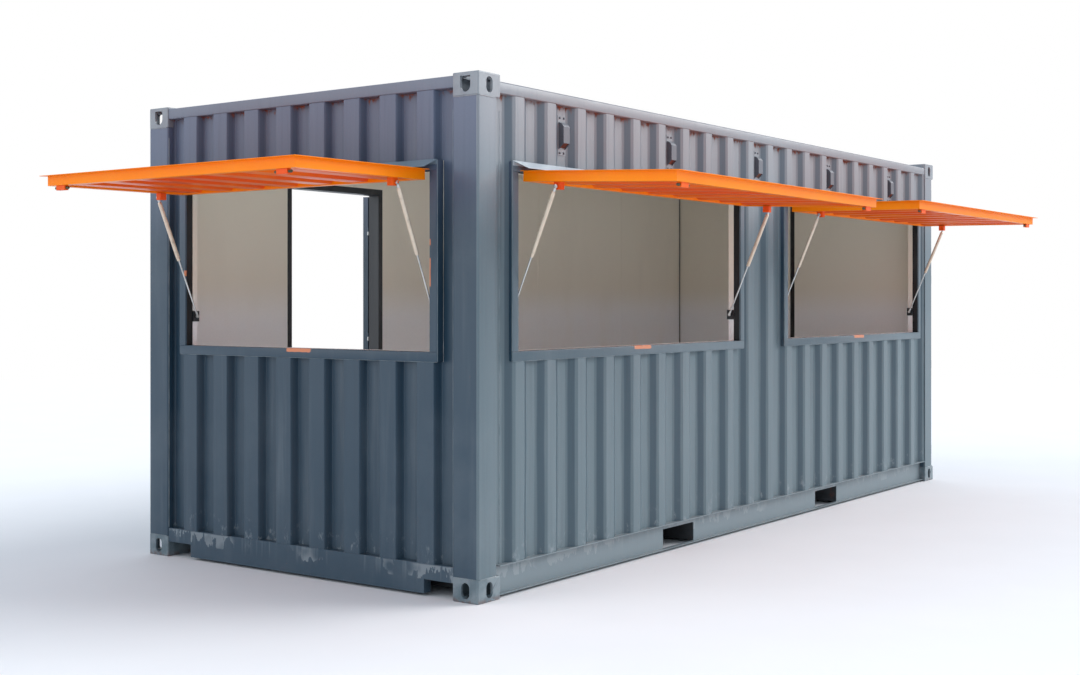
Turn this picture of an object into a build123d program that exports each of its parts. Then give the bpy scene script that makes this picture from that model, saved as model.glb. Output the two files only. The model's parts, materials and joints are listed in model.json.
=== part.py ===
from build123d import *
import os
from math import atan2, cos, degrees, hypot, radians, sin

os.makedirs("parts", exist_ok=True)

# Millimetres. +X runs along the container from the closed front end, which has a hatch, to the
# cargo doors. The service side with two hatches faces -Y and the doorway is in the back wall, +Y.
# +Z is up. The origin is on the ground, at the centre of the four bottom corner castings.

# Container shell
LENGTH = 6058.0
WIDTH = 2438.0
HEIGHT = 2591.0
CASTING_X = 178.0
CASTING_Y = 162.0
CASTING_Z = 118.0
CASTING_WALL = 14.0
CASTING_SLOT_WALL = 28.0
SOCKET_SPACING_X = 5853.0
SOCKET_SPACING_Y = 2259.0
SOCKET_WIDTH = 63.5
SOCKET_LENGTH = 124.0
SIDE_HOLE_WIDTH = 51.0
SIDE_HOLE_HEIGHT = 79.0
SHIELD_HOLE_WIDTH = 63.5

# Corner posts
FRONT_POST_FACE = 150.0
FRONT_POST_DEPTH = 48.0
POST_PLATE = 6.0
REAR_POST_WIDTH = 49.0
DOOR_GEAR_RECESS = 38.0

# Bottom rails and underframe
RAIL_BOTTOM = 15.0
RAIL_TOP = 165.0
RAIL_PLATE = 4.5
SIDE_RAIL_WEB_DEPTH = 45.0
SIDE_RAIL_LIP = 30.0
RAIL_EDGE_INSET = 2.0
FRONT_RAIL_INSET = 6.0
FRONT_RAIL_FLANGE = 54.0
NOTCH_WIDTH = 188.0
NOTCH_TOP = 86.0
POCKET_CENTRES = (1989.0, 4069.0)
POCKET_WIDTH = 360.0
POCKET_TOP = 130.0
POCKET_PLATE = 6.0
CROSSMEMBER_HEIGHT = 120.0
CROSSMEMBER_FLANGE = 45.0
CROSSMEMBER_PLATE = 4.0
CROSSMEMBER_SPACING = 290.0
CROSSMEMBER_MARGIN = 12.0
FLOOR_THICKNESS = 28.0
SILL_DEPTH = 80.0

# Top rails and roof
FRONT_TOP_RAIL_DROP = 11.0
FRONT_TOP_RAIL_SIZE = 60.0
SIDE_TOP_RAIL_DROP = 35.0
SIDE_TOP_RAIL_WIDTH = 60.0
SIDE_TOP_RAIL_HEIGHT = 56.0
TOP_RAIL_INSET = 6.0
TOP_RAIL_WALL = 4.0
HEADER_DROP = 11.0
HEADER_HEIGHT = 125.0
HEADER_DEPTH = 60.0
ROOF_PITCH = 209.0
ROOF_FLAT = 91.0
ROOF_SLOPE = 13.5
ROOF_DEPTH = 20.0
ROOF_EDGE_INSET = 10.0
ROOF_END_PLATE = 4.0

# Corrugated wall sheets: pitch, outer flat, slope and depth of one fold
SHEET = 2.0
SHEET_INSET = 8.0
FRONT_PITCH = 250.0
FRONT_FLAT = 110.0
FRONT_SLOPE = 18.0
FRONT_DEPTH = 45.6
SIDE_PITCH = 278.0
SIDE_FLAT = 72.0
SIDE_SLOPE = 68.0
SIDE_DEPTH = 36.0
SIDE_FOLD_START = 765.0

# Hatch surrounds
SURROUND = 50.0
SURROUND_WALL = 3.0
SURROUND_INSET = 2.0
OPENING_FROM_TOP = 469.0
OPENING_HEIGHT = 902.0
FRONT_PIER = 99.0
NEAR_PIER = 103.0
MIDDLE_PIER = 579.0
FAR_PIER = 90.0
FLASHING_SHEET = 2.0
FLASHING_LEG = 26.0
FLASHING_REACH = 98.0
FLASHING_DROP = 43.0
FLASHING_ABOVE_HEAD = 4.0

# Hatches, seen open: measured outward along the hatch and square to it, from the hinge axis
AXIS_OUT = 12.0
AXIS_ABOVE_OPENING = 8.0
HATCH_SIDE_GAP = 6.0
HATCH_START = 13.0
HATCH_BOTTOM_GAP = 7.0
HATCH_TOP_FACE = 7.0
HATCH_THICKNESS = 50.0
HATCH_MEMBER = 40.0
LIP_SHEET = 3.0
LIP_OVERHANG = 30.0
HATCH_SHEET_TOP = 5.0
END_HATCH_TILT = 0.3
NEAR_HATCH_TILT = 2.6
FAR_HATCH_TILT = 0.8
KNUCKLE_RADIUS = 8.0
KNUCKLE_WIDTH = 45.0
KNUCKLE_GAP = 0.3
HINGE_STRAP = 4.0
HINGE_LEAF_HEIGHT = 20.0
HINGE_STRAP_LENGTH = 45.0
HINGES_PER_HATCH = 3
HINGE_END_MARGIN = 260.0

# Gas struts
STRUT_FROM_JAMB = 22.0
STRUT_ALONG_HATCH = 203.0
STRUT_BELOW_AXIS = 80.0
STRUT_FOOT_BEHIND_FACE = 70.0
STRUT_FOOT_ABOVE_SILL = 165.0
STRUT_CYLINDER_RADIUS = 11.0
STRUT_CYLINDER_START = 16.0
STRUT_ROD_SHOWN_SHUT = 162.0
STRUT_BORE_START = 70.0
STRUT_ROD_RADIUS = 4.5
STRUT_ROD_CLEARANCE = 0.3
STRUT_ROD_END_ROOM = 32.0
STRUT_EYE_RADIUS = 10.0
STRUT_EYE_WIDTH = 10.0
STRUT_PIN_RADIUS = 5.0
STRUT_PIN_CLEARANCE = 0.1
STRUT_BRACKET_GAP = 1.0
STRUT_BRACKET_LENGTH = 40.0
STRUT_BRACKET_WIDTH = 36.0
STRUT_BRACKET_DROP = 38.0
FOOT_PLATE = 8.0
FOOT_PLATE_HEIGHT = 60.0
FOOT_PLATE_DEPTH = 45.0
FOOT_BOSS_RADIUS = 6.0
FOOT_BOSS_GAP = 0.5

# Catches under the outer corners of each hatch
CATCH_FROM_CORNER = 60.0
CATCH_LENGTH = 70.0
CATCH_WIDTH = 24.0
CATCH_DROP = 25.0
CATCH_FROM_EDGE = 8.0

# Wall vents
VENT_HEIGHT = 213.0
VENT_WIDTH = 70.0
VENT_FROM_TOP = 138.0
VENT_FLANGE = 2.0
HOOD_WIDTH = 56.0
HOOD_HEIGHT = 113.0
HOOD_FROM_VENT_TOP = 37.0
HOOD_DEPTH = 34.0
VENT_SPACING_IN_FOLDS = 4
VENTS_PER_WALL = 5

# Doorway in the back wall
DOORWAY_START = 1058.0
DOORWAY_WIDTH = 818.0
DOORWAY_FROM_TOP = 396.0
DOOR_FRAME_FACE = 40.0
DOOR_GAP = 5.0
DOOR_THICKNESS = 40.0
DOOR_AXIS_OUT = 10.0
DOOR_AXIS_SIDE = 6.0
DOOR_OPEN_ANGLE = 170.0
DOOR_HINGE_FROM_TOP = 245.0
DOOR_HINGE_SPACING = 725.0
DOOR_HINGES = 3
DOOR_KNUCKLE_LENGTH = 50.0
DOOR_HINGE_REACH = 60.0
DOOR_STRAP_LIFT = 2.0
DOOR_KNUCKLE_GAP = 0.3
DOOR_FIELD_MARGIN = 90.0
DOOR_FACE_RECESS = 3.0
HANDLE_HEIGHT = 885.0
HANDLE_FROM_EDGE = 60.0
HANDLE_PLATE = (40.0, 180.0, 4.0)
HANDLE_LEVER = 120.0
HANDLE_STAND_OFF = 45.0
HANDLE_BAR = 16.0

# Lining
LINING_INNER = 90.0
LINING_JOINT = 2.0
CEILING_FROM_TOP = 171.0
CEILING_THICKNESS = 30.0
SEAL_WIDTH = 40.0

# Cargo doors
LEAF_THICKNESS = 40.0
LEAF_GAP = 5.0
LEAF_CENTRE_GAP = 6.0
LEAF_LINING = 30.0
LEAF_FIELDS = 5
LEAF_WEB = 5.0
LEAF_FIELD_DEPTH = 22.0
LEAF_STILE = 90.0
CARGO_HINGES = 4
CARGO_HINGE_FIRST = 250.0
CARGO_HINGE_LAST_DROP = 241.0
CARGO_HINGE_LENGTH = 150.0
CARGO_HINGE_HEIGHT = 70.0
CARGO_HINGE_PLATE = 8.0
CARGO_EYE_RADIUS = 14.0
CARGO_EYE_IN = 20.0
LOCK_ROD_RADIUS = 13.0
LOCK_ROD_OFFSETS = (330.0, 800.0)
LOCK_ROD_STAND_OFF = 3.0
LOCK_ROD_OVERRUN = 40.0
GUIDE_WIDTH = 64.0
GUIDE_HEIGHT = 40.0
GUIDES_PER_ROD = 4
GUIDE_END_MARGIN = 60.0
LOCK_HANDLE_HEIGHT = 1200.0
LOCK_HANDLE_LENGTH = 300.0
LOCK_HANDLE_BAR = (8.0, 28.0)

# Planes of the container's faces
FRONT = -LENGTH / 2
REAR = LENGTH / 2
SERVICE = -WIDTH / 2
BACK = WIDTH / 2
SURROUND_BACK = SURROUND_INSET + SURROUND
FLOOR_TOP = RAIL_TOP
SIDE_RAIL_Z = HEIGHT - SIDE_TOP_RAIL_DROP - SIDE_TOP_RAIL_HEIGHT
FRONT_RAIL_Z = HEIGHT - FRONT_TOP_RAIL_DROP - FRONT_TOP_RAIL_SIZE
HEADER_Z = HEIGHT - HEADER_DROP - HEADER_HEIGHT
LEAF_TOP = HEADER_Z - LEAF_GAP
CEILING_Z = HEIGHT - CEILING_FROM_TOP
DOORWAY_TOP = HEIGHT - DOORWAY_FROM_TOP
VENT_Z = HEIGHT - VENT_FROM_TOP - VENT_HEIGHT
OPENING_TOP = HEIGHT - OPENING_FROM_TOP
OPENING_BOTTOM = OPENING_TOP - OPENING_HEIGHT
END_OPENING_WIDTH = WIDTH - 2 * (CASTING_Y + FRONT_PIER + SURROUND)
SIDE_WALL_LENGTH = LENGTH - 2 * CASTING_X
SIDE_OPENING_WIDTH = (SIDE_WALL_LENGTH - NEAR_PIER - MIDDLE_PIER - FAR_PIER - 4 * SURROUND) / 2
HINGE_Z = OPENING_TOP + AXIS_ABOVE_OPENING
HATCH_LENGTH = HINGE_Z - OPENING_BOTTOM - HATCH_BOTTOM_GAP
SERVICE_HINGE_Y = SERVICE + SURROUND_INSET - AXIS_OUT
FRONT_HINGE_X = FRONT + SURROUND_INSET - AXIS_OUT
LEAF_INNER = REAR - DOOR_GEAR_RECESS - LEAF_THICKNESS
LEAF_OUTER = REAR - DOOR_GEAR_RECESS
REAR_LINING = LEAF_INNER - LEAF_LINING
SIDE_RAIL_BACK = SIDE_RAIL_WEB_DEPTH + RAIL_PLATE
SILL_FRONT = LEAF_OUTER - SILL_DEPTH
LEAF_Y0 = SERVICE + REAR_POST_WIDTH + LEAF_GAP
NEAR_X = FRONT + CASTING_X + NEAR_PIER + SURROUND + SIDE_OPENING_WIDTH / 2
FAR_X = REAR - CASTING_X - FAR_PIER - SURROUND - SIDE_OPENING_WIDTH / 2


def save(name, solids):
    """Write one named piece, or several that don't touch, as one file."""
    shapes = []
    for solid in solids:
        shapes.extend(solid.solids())
    export_step(Compound(children=shapes) if len(shapes) > 1 else shapes[0], f"parts/{name}.step")


def block(x0, x1, y0, y1, z0, z1):
    """A box between two corners."""
    centre = Pos((x0 + x1) / 2, (y0 + y1) / 2, (z0 + z1) / 2)
    return centre * Box(abs(x1 - x0), abs(y1 - y0), abs(z1 - z0))


def rod(start, end, radius):
    """A round bar between two points."""
    start, end = Vector(*start), Vector(*end)
    plane = Plane(origin=start, z_dir=end - start)
    return extrude(plane * Circle(radius), amount=(end - start).length)


def prism(points, direction, length):
    """A closed outline of points in space, extruded along a direction."""
    face = make_face(Polyline(*points, close=True))
    return extrude(face, amount=length, dir=direction)


def both_sides(shape):
    """A piece of the service side and its mirror image on the back side."""
    return [shape, mirror(shape, about=Plane.XZ)]


def fold_line(start, end, recess, pitch, flat, slope, depth):
    """Corners of a corrugated line from start to end, as (along, depth), with a recess at recess."""
    inner = pitch - flat - 2 * slope

    def depth_at(along):
        away = abs((along - recess + pitch / 2) % pitch - pitch / 2)
        return depth * min(1.0, max(0.0, 1 - (away - inner / 2) / slope))

    corners = [start, end]
    first = int((start - recess) // pitch) - 1
    last = int((end - recess) // pitch) + 1
    for number in range(first, last + 1):
        centre = recess + number * pitch
        for offset in (-inner / 2 - slope, -inner / 2, inner / 2, inner / 2 + slope):
            if start + 0.5 < centre + offset < end - 0.5:
                corners.append(centre + offset)
    return [(along, depth_at(along)) for along in sorted(corners)]


def thicken(line, thickness):
    """The outline of a sheet whose outer face is the line and whose corners are mitred."""
    shifted = []
    for index, (along, depth) in enumerate(line):
        before = line[max(index - 1, 0)]
        after = line[min(index + 1, len(line) - 1)]
        angle_in = atan2(depth - before[1], along - before[0]) if index else None
        angle_out = atan2(after[1] - depth, after[0] - along) if index < len(line) - 1 else None
        if angle_in is None or angle_out is None:
            angle = angle_out if angle_in is None else angle_in
            shifted.append((along, depth + thickness / cos(angle)))
        else:
            middle = (angle_in + angle_out) / 2
            reach = thickness / cos((angle_out - angle_in) / 2)
            shifted.append((along - reach * sin(middle), depth + reach * cos(middle)))
    return line + shifted[::-1]


def front_sheet(y0, y1, z0, z1):
    """A stretch of the corrugated front wall, from y0 to y1."""
    line = fold_line(y0, y1, 0.0, FRONT_PITCH, FRONT_FLAT, FRONT_SLOPE, FRONT_DEPTH)
    outline = [(FRONT + SHEET_INSET + d, y, z0) for y, d in thicken(line, SHEET)]
    return prism(outline, (0, 0, 1), z1 - z0)


def side_sheet(x0, x1, z0, z1):
    """A stretch of the corrugated service wall, from x0 to x1."""
    recess = FRONT + SIDE_FOLD_START
    line = fold_line(x0, x1, recess, SIDE_PITCH, SIDE_FLAT, SIDE_SLOPE, SIDE_DEPTH)
    outline = [(x, SERVICE + SHEET_INSET + d, z0) for x, d in thicken(line, SHEET)]
    return prism(outline, (0, 0, 1), z1 - z0)


def to_back(shape):
    """A piece of the service side, moved to the back side."""
    return mirror(shape, about=Plane.XZ)


def stadium(width, height):
    """A flat slot with round ends, upright."""
    return SlotOverall(height, width, rotation=90)


def corner_casting(top):
    """A hollow corner casting at the front of the service side, with its three slotted holes."""
    z0 = HEIGHT - CASTING_Z if top else 0.0
    x0, y0 = FRONT, SERVICE
    body = block(x0, x0 + CASTING_X, y0, y0 + CASTING_Y, z0, z0 + CASTING_Z)
    low, high = z0 + CASTING_SLOT_WALL, z0 + CASTING_Z - CASTING_WALL
    if top:
        low, high = z0 + CASTING_WALL, z0 + CASTING_Z - CASTING_SLOT_WALL
    wall = CASTING_WALL
    body -= block(x0 + wall, x0 + CASTING_X - wall, y0 + wall, y0 + CASTING_Y - wall, low, high)
    slot_x, slot_y = -SOCKET_SPACING_X / 2, -SOCKET_SPACING_Y / 2
    slot_z = z0 + CASTING_Z / 2 if top else z0
    slot = extrude(SlotOverall(SOCKET_LENGTH, SOCKET_WIDTH), amount=CASTING_Z / 2)
    body -= Pos(slot_x, slot_y, slot_z) * slot
    middle = z0 + CASTING_Z / 2
    side_plane = Plane(origin=(x0 + CASTING_X / 2, y0, middle), x_dir=(1, 0, 0), z_dir=(0, 1, 0))
    hole = stadium(SIDE_HOLE_WIDTH, SIDE_HOLE_HEIGHT)
    body -= extrude(side_plane * hole, amount=CASTING_Y / 2)
    end_plane = Plane(origin=(x0, y0 + CASTING_Y / 2, middle), x_dir=(0, -1, 0), z_dir=(1, 0, 0))
    if top:
        half = SHIELD_HOLE_WIDTH / 2
        rise = SIDE_HOLE_HEIGHT / 2
        straight = Pos(0, -half / 2) * Rectangle(SHIELD_HOLE_WIDTH, 2 * rise - half)
        hole = straight + Pos(0, rise - half) * Circle(half)
    body -= extrude(end_plane * hole, amount=CASTING_X / 2)
    return body


def four_corners(shape):
    """A piece of the front service corner, repeated at all four corners."""
    front = both_sides(shape)
    return front + [mirror(piece, about=Plane.YZ) for piece in front]


def front_post():
    """An angle-shaped hollow post of the front service corner, with a flange for the side sheet."""
    depth, plate = FRONT_POST_DEPTH, POST_PLATE
    outer = [(0, 0), (FRONT_POST_FACE, 0), (FRONT_POST_FACE, depth - plate), (CASTING_X, depth - plate),
             (CASTING_X, depth), (depth, depth), (depth, CASTING_Y), (0, CASTING_Y)]
    inner = [(plate, plate), (FRONT_POST_FACE - plate, plate), (FRONT_POST_FACE - plate, depth - plate),
             (depth - plate, depth - plate), (depth - plate, CASTING_Y - plate), (plate, CASTING_Y - plate)]
    height = HEIGHT - 2 * CASTING_Z
    post = prism([(FRONT + x, SERVICE + y, CASTING_Z) for x, y in outer], (0, 0, 1), height)
    return post - prism([(FRONT + x, SERVICE + y, CASTING_Z) for x, y in inner], (0, 0, 1), height)


def rear_post():
    """A hollow post of the rear service corner, beside the cargo doors."""
    x0, x1 = REAR - CASTING_X, LEAF_OUTER
    y0, y1 = SERVICE, SERVICE + REAR_POST_WIDTH
    z0, z1 = CASTING_Z, HEIGHT - CASTING_Z
    post = block(x0, x1, y0, y1, z0, z1)
    return post - block(x0 + POST_PLATE, x1 - POST_PLATE, y0 + POST_PLATE, y1 - POST_PLATE, z0, z1)


def side_bottom_rail():
    """The service side's bottom rail, a channel open to the outside, cut away at the fork pockets."""
    web, back, edge = SIDE_RAIL_WEB_DEPTH, SIDE_RAIL_BACK, RAIL_EDGE_INSET
    top, bottom, plate = RAIL_TOP, RAIL_BOTTOM, RAIL_PLATE
    lip = web - SIDE_RAIL_LIP
    profile = [(edge, top), (back, top), (back, bottom), (lip, bottom), (lip, bottom + plate),
               (web, bottom + plate), (web, top - plate), (edge, top - plate)]
    x0 = FRONT + CASTING_X
    outline = [(x0, SERVICE + y, z) for y, z in profile]
    rail = prism(outline, (1, 0, 0), LENGTH - 2 * CASTING_X)
    for centre in POCKET_CENTRES:
        x = FRONT + centre
        rail -= block(x - POCKET_WIDTH / 2, x + POCKET_WIDTH / 2, SERVICE + web - 1, SERVICE + back + 1,
                      bottom + plate, POCKET_TOP)
    return rail


def front_bottom_rail():
    """The front bottom rail, a channel with a boxed handling notch beside each casting."""
    x0, x1 = FRONT + FRONT_RAIL_INSET, FRONT + FRONT_RAIL_INSET + FRONT_RAIL_FLANGE
    y0, y1 = SERVICE + CASTING_Y, BACK - CASTING_Y
    plate = RAIL_PLATE
    rail = block(x0, x1, y0, y1, RAIL_BOTTOM, RAIL_TOP)
    rail -= block(x0 + plate, x1, y0, y1, RAIL_BOTTOM + plate, RAIL_TOP - plate)
    for end, inward in ((y0, 1), (y1, -1)):
        stop = end + inward * NOTCH_WIDTH
        rail -= block(x0, x1, end, stop, RAIL_BOTTOM, NOTCH_TOP)
        rail += block(x0, x1, end, stop + inward * plate, NOTCH_TOP, NOTCH_TOP + plate)
        rail += block(x0, x1, stop, stop + inward * plate, RAIL_BOTTOM, NOTCH_TOP + plate)
    return rail


def tube_between(x0, x1, y0, y1, z0, z1, wall, along):
    """A rectangular tube filling a box, open at both ends along one axis."""
    inner = [x0 + wall, x1 - wall, y0 + wall, y1 - wall, z0 + wall, z1 - wall]
    limits = [x0, x1, y0, y1, z0, z1]
    place = "xyz".index(along) * 2
    inner[place], inner[place + 1] = limits[place], limits[place + 1]
    return block(*limits) - block(*inner)


def crossmembers():
    """Channels between the side rails, evenly spaced between the fork pockets and the ends."""
    top = FLOOR_TOP - FLOOR_THICKNESS
    bottom = top - CROSSMEMBER_HEIGHT
    y0, y1 = SERVICE + SIDE_RAIL_BACK, BACK - SIDE_RAIL_BACK
    margin = CROSSMEMBER_MARGIN
    edges = [FRONT + CASTING_X + margin]
    for centre in POCKET_CENTRES:
        half = POCKET_WIDTH / 2 + POCKET_PLATE + margin
        edges += [FRONT + centre - half, FRONT + centre + half]
    edges.append(REAR - CASTING_X - margin)
    channels = []
    for start, end in zip(edges[::2], edges[1::2]):
        count = max(2, round((end - start) / CROSSMEMBER_SPACING) + 1)
        step = (end - start - CROSSMEMBER_FLANGE) / (count - 1)
        for number in range(count):
            x0 = start + number * step
            channel = block(x0, x0 + CROSSMEMBER_FLANGE, y0, y1, bottom, top)
            plate = CROSSMEMBER_PLATE
            channel -= block(x0 + plate, x0 + CROSSMEMBER_FLANGE, y0, y1, bottom + plate, top - plate)
            channels.append(channel)
    return channels


def fork_pocket(centre):
    """An inverted trough across the underframe that takes a fork."""
    half, plate = POCKET_WIDTH / 2, POCKET_PLATE
    y0, y1 = SERVICE + SIDE_RAIL_BACK, BACK - SIDE_RAIL_BACK
    bottom = FLOOR_TOP - FLOOR_THICKNESS - CROSSMEMBER_HEIGHT
    x = FRONT + centre
    trough = block(x - half - plate, x + half + plate, y0, y1, bottom, FLOOR_TOP - FLOOR_THICKNESS)
    return trough - block(x - half, x + half, y0, y1, bottom, POCKET_TOP)


def roof_sheet():
    """The roof, corrugated across the container, lying on the side top rails."""
    x0, x1 = FRONT + CASTING_X, REAR - CASTING_X
    base = HEIGHT - SIDE_TOP_RAIL_DROP
    line = fold_line(x0, x1, 0.0, ROOF_PITCH, ROOF_FLAT, ROOF_SLOPE, ROOF_DEPTH)
    crest = base + ROOF_DEPTH + SHEET
    outline = [(x, SERVICE + ROOF_EDGE_INSET, crest - d) for x, d in thicken(line, SHEET)]
    return prism(outline, (0, 1, 0), WIDTH - 2 * ROOF_EDGE_INSET)


def roof_end_plates():
    """Flat plates that close the roof between the castings at each end."""
    base = HEIGHT - SIDE_TOP_RAIL_DROP
    y0, y1 = SERVICE + CASTING_Y, BACK - CASTING_Y
    front_edge = FRONT + TOP_RAIL_INSET + FRONT_TOP_RAIL_SIZE
    rear_edge = LEAF_OUTER - HEADER_DEPTH
    return [block(front_edge, FRONT + CASTING_X, y0, y1, base, base + ROOF_END_PLATE),
            block(REAR - CASTING_X, rear_edge, y0, y1, base, base + ROOF_END_PLATE)]


# Each hatch: name, centre of its hinge axis, turn of its frame about Z, opening width and tilt
HATCHES = (
    ("end", (FRONT_HINGE_X, 0.0, HINGE_Z), -90.0, END_OPENING_WIDTH, END_HATCH_TILT),
    ("near", (NEAR_X, SERVICE_HINGE_Y, HINGE_Z), 0.0, SIDE_OPENING_WIDTH, NEAR_HATCH_TILT),
    ("far", (FAR_X, SERVICE_HINGE_Y, HINGE_Z), 0.0, SIDE_OPENING_WIDTH, FAR_HATCH_TILT),
)


def at_opening(hatch):
    """The place of a hatch opening: local X along the hinge, -Y out of the wall, +Z up."""
    return Pos(*hatch[1]) * Rot(0, 0, hatch[2])


def at_hatch(hatch):
    """The place of an open hatch, tilted down from level about its hinge."""
    return at_opening(hatch) * Rot(hatch[4], 0, 0)


def surround_head_and_sill(width):
    """The tubes over and under an opening, in the opening's frame."""
    half = width / 2 + SURROUND
    y0, y1 = AXIS_OUT, AXIS_OUT + SURROUND
    head, sill = OPENING_TOP - HINGE_Z, OPENING_BOTTOM - HINGE_Z
    return [tube_between(-half, half, y0, y1, head, head + SURROUND, SURROUND_WALL, "x"),
            tube_between(-half, half, y0, y1, sill - SURROUND, sill, SURROUND_WALL, "x")]


def surround_jambs(width):
    """The tubes beside an opening, in the opening's frame."""
    half = width / 2
    y0, y1 = AXIS_OUT, AXIS_OUT + SURROUND
    z0, z1 = OPENING_BOTTOM - HINGE_Z, OPENING_TOP - HINGE_Z
    return [tube_between(-half - SURROUND, -half, y0, y1, z0, z1, SURROUND_WALL, "z"),
            tube_between(half, half + SURROUND, y0, y1, z0, z1, SURROUND_WALL, "z")]


def rain_flashing(width):
    """A bent sheet on the head that throws rain over the hatch's hinge edge."""
    half = width / 2 + SURROUND
    face = AXIS_OUT
    top = OPENING_TOP - HINGE_Z + SURROUND + FLASHING_ABOVE_HEAD
    slope = FLASHING_DROP / FLASHING_REACH
    sheet = FLASHING_SHEET
    profile = [(face, top), (face, top - FLASHING_LEG), (face - sheet, top - FLASHING_LEG),
               (face - sheet, top - sheet * (1 + slope)),
               (face - FLASHING_REACH, top - FLASHING_DROP - sheet),
               (face - FLASHING_REACH, top - FLASHING_DROP)]
    return prism([(-half, y, z) for y, z in profile], (1, 0, 0), 2 * half)


def hinge_places(width):
    """Middles of a hatch's hinges along its axis."""
    reach = width / 2 - HINGE_END_MARGIN
    return [-reach + number * 2 * reach / (HINGES_PER_HATCH - 1) for number in range(HINGES_PER_HATCH)]


def barrel(start, end, leaf_y, leaf_z):
    """A hinge barrel about local X with a flat leaf that fills the box leaf_y by leaf_z beside it."""
    (y0, y1), (z0, z1) = leaf_y, leaf_z
    plane = Plane(origin=(start, 0, 0), x_dir=(0, 1, 0), z_dir=(1, 0, 0))
    leaf = Pos((y0 + y1) / 2, (z0 + z1) / 2) * Rectangle(abs(y1 - y0), abs(z1 - z0))
    return extrude(plane * (Circle(KNUCKLE_RADIUS) + leaf), amount=end - start)


def hinge_lug(middle):
    """The fixed half of a hatch hinge, welded to the face of the head."""
    arm = barrel(middle + KNUCKLE_GAP / 2, middle + KNUCKLE_WIDTH, (0, AXIS_OUT), (-HINGE_STRAP, HINGE_STRAP))
    return arm + block(middle + KNUCKLE_GAP / 2, middle + KNUCKLE_WIDTH, AXIS_OUT - HINGE_STRAP, AXIS_OUT,
                       -AXIS_ABOVE_OPENING, HINGE_LEAF_HEIGHT - AXIS_ABOVE_OPENING)


def hatch_frame(width):
    """The welded frame of a hatch with its weather lip on both sides and the outer edge."""
    half = width / 2 - HATCH_SIDE_GAP
    top, bottom = -HATCH_TOP_FACE, -HATCH_TOP_FACE - HATCH_THICKNESS
    near, far = HATCH_START, HATCH_LENGTH
    member = HATCH_MEMBER
    frame = block(-half, half, -near, -far, bottom, top)
    frame -= block(-half + member, half - member, -near - member, -far + member, bottom, top)
    lip = block(-half - LIP_OVERHANG, half + LIP_OVERHANG, -near, -far - LIP_OVERHANG, top, top + LIP_SHEET)
    lip -= block(-half + member, half - member, -near, -far + member, top, top + LIP_SHEET)
    return frame + lip


def hatch_sheet(width, pitch, flat, slope, depth):
    """The corrugated infill of a hatch, cut from the wall, with its folds running outward."""
    half = width / 2 - HATCH_SIDE_GAP - HATCH_MEMBER
    line = fold_line(-half, half, 0.0, pitch, flat, slope, depth)
    top = -HATCH_TOP_FACE - HATCH_SHEET_TOP
    start = HATCH_START + HATCH_MEMBER
    outline = [(x, -start, top - d) for x, d in thicken(line, SHEET)]
    return prism(outline, (0, -1, 0), HATCH_LENGTH - HATCH_MEMBER - start)


def hatch_fittings(width):
    """Moving knuckles, strut brackets and corner catches of a hatch."""
    pieces = []
    top = -HATCH_TOP_FACE
    for middle in hinge_places(width):
        pieces.append(barrel(middle - KNUCKLE_WIDTH, middle - KNUCKLE_GAP / 2, (0, -HINGE_STRAP_LENGTH),
                             (top, top + HINGE_STRAP)))
    under = -HATCH_TOP_FACE - HATCH_THICKNESS
    for side in (-1, 1):
        jamb = side * width / 2
        strut = jamb - side * STRUT_FROM_JAMB
        start = strut - side * (STRUT_CYLINDER_RADIUS + STRUT_BRACKET_GAP)
        end = start - side * STRUT_BRACKET_WIDTH
        along, below = -STRUT_ALONG_HATCH, -STRUT_BELOW_AXIS
        reach = STRUT_BRACKET_LENGTH / 2
        bracket = block(start, end, along - reach, along + reach, under - STRUT_BRACKET_DROP, under)
        pin_end = strut + side * (STRUT_EYE_WIDTH / 2 + STRUT_BRACKET_GAP)
        pieces.append(bracket + rod((start, along, below), (pin_end, along, below), STRUT_PIN_RADIUS))
        corner = jamb - side * (HATCH_SIDE_GAP + CATCH_FROM_CORNER)
        edge = -HATCH_LENGTH + CATCH_FROM_EDGE
        pieces.append(block(corner, corner - side * CATCH_LENGTH, edge, edge + CATCH_WIDTH,
                            under - CATCH_DROP, under))
    return pieces


def strut_head(tilt):
    """The strut's upper pivot on the hatch, in the opening's frame, at a hatch tilt in degrees."""
    turn = radians(tilt)
    y, z = -STRUT_ALONG_HATCH, -STRUT_BELOW_AXIS
    return y * cos(turn) - z * sin(turn), y * sin(turn) + z * cos(turn)


def strut_foot():
    """The strut's lower pivot on the jamb, in the opening's frame."""
    return AXIS_OUT + STRUT_FOOT_BEHIND_FACE, OPENING_BOTTOM + STRUT_FOOT_ABOVE_SILL - HINGE_Z


def strut_turn(tilt):
    """The strut's turn about X from hanging straight down, and its length between pivots."""
    head, foot = strut_head(tilt), strut_foot()
    return degrees(atan2(foot[0] - head[0], head[1] - foot[1])), hypot(foot[0] - head[0], foot[1] - head[1])


def at_strut(hatch, side):
    """The place of a strut, with local -Z running from its upper pivot to its foot."""
    head = strut_head(hatch[4])
    middle = side * (hatch[3] / 2 - STRUT_FROM_JAMB)
    return at_opening(hatch) * Pos(middle, *head) * Rot(strut_turn(hatch[4])[0], 0, 0)


def strut_eye(neck):
    """A flat eye about local X with a neck that runs along local Z for the signed length neck."""
    plane = Plane(origin=(-STRUT_EYE_WIDTH / 2, 0, 0), x_dir=(0, 1, 0), z_dir=(1, 0, 0))
    outline = Circle(STRUT_EYE_RADIUS) + Pos(0, neck / 2) * Rectangle(STRUT_EYE_WIDTH, abs(neck))
    return extrude(plane * outline, amount=STRUT_EYE_WIDTH)


SHUT_LENGTH = strut_turn(90.0)[1]
CYLINDER_END = SHUT_LENGTH - STRUT_ROD_SHOWN_SHUT
ROD_LENGTH = SHUT_LENGTH - STRUT_BORE_START - STRUT_ROD_END_ROOM


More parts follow.
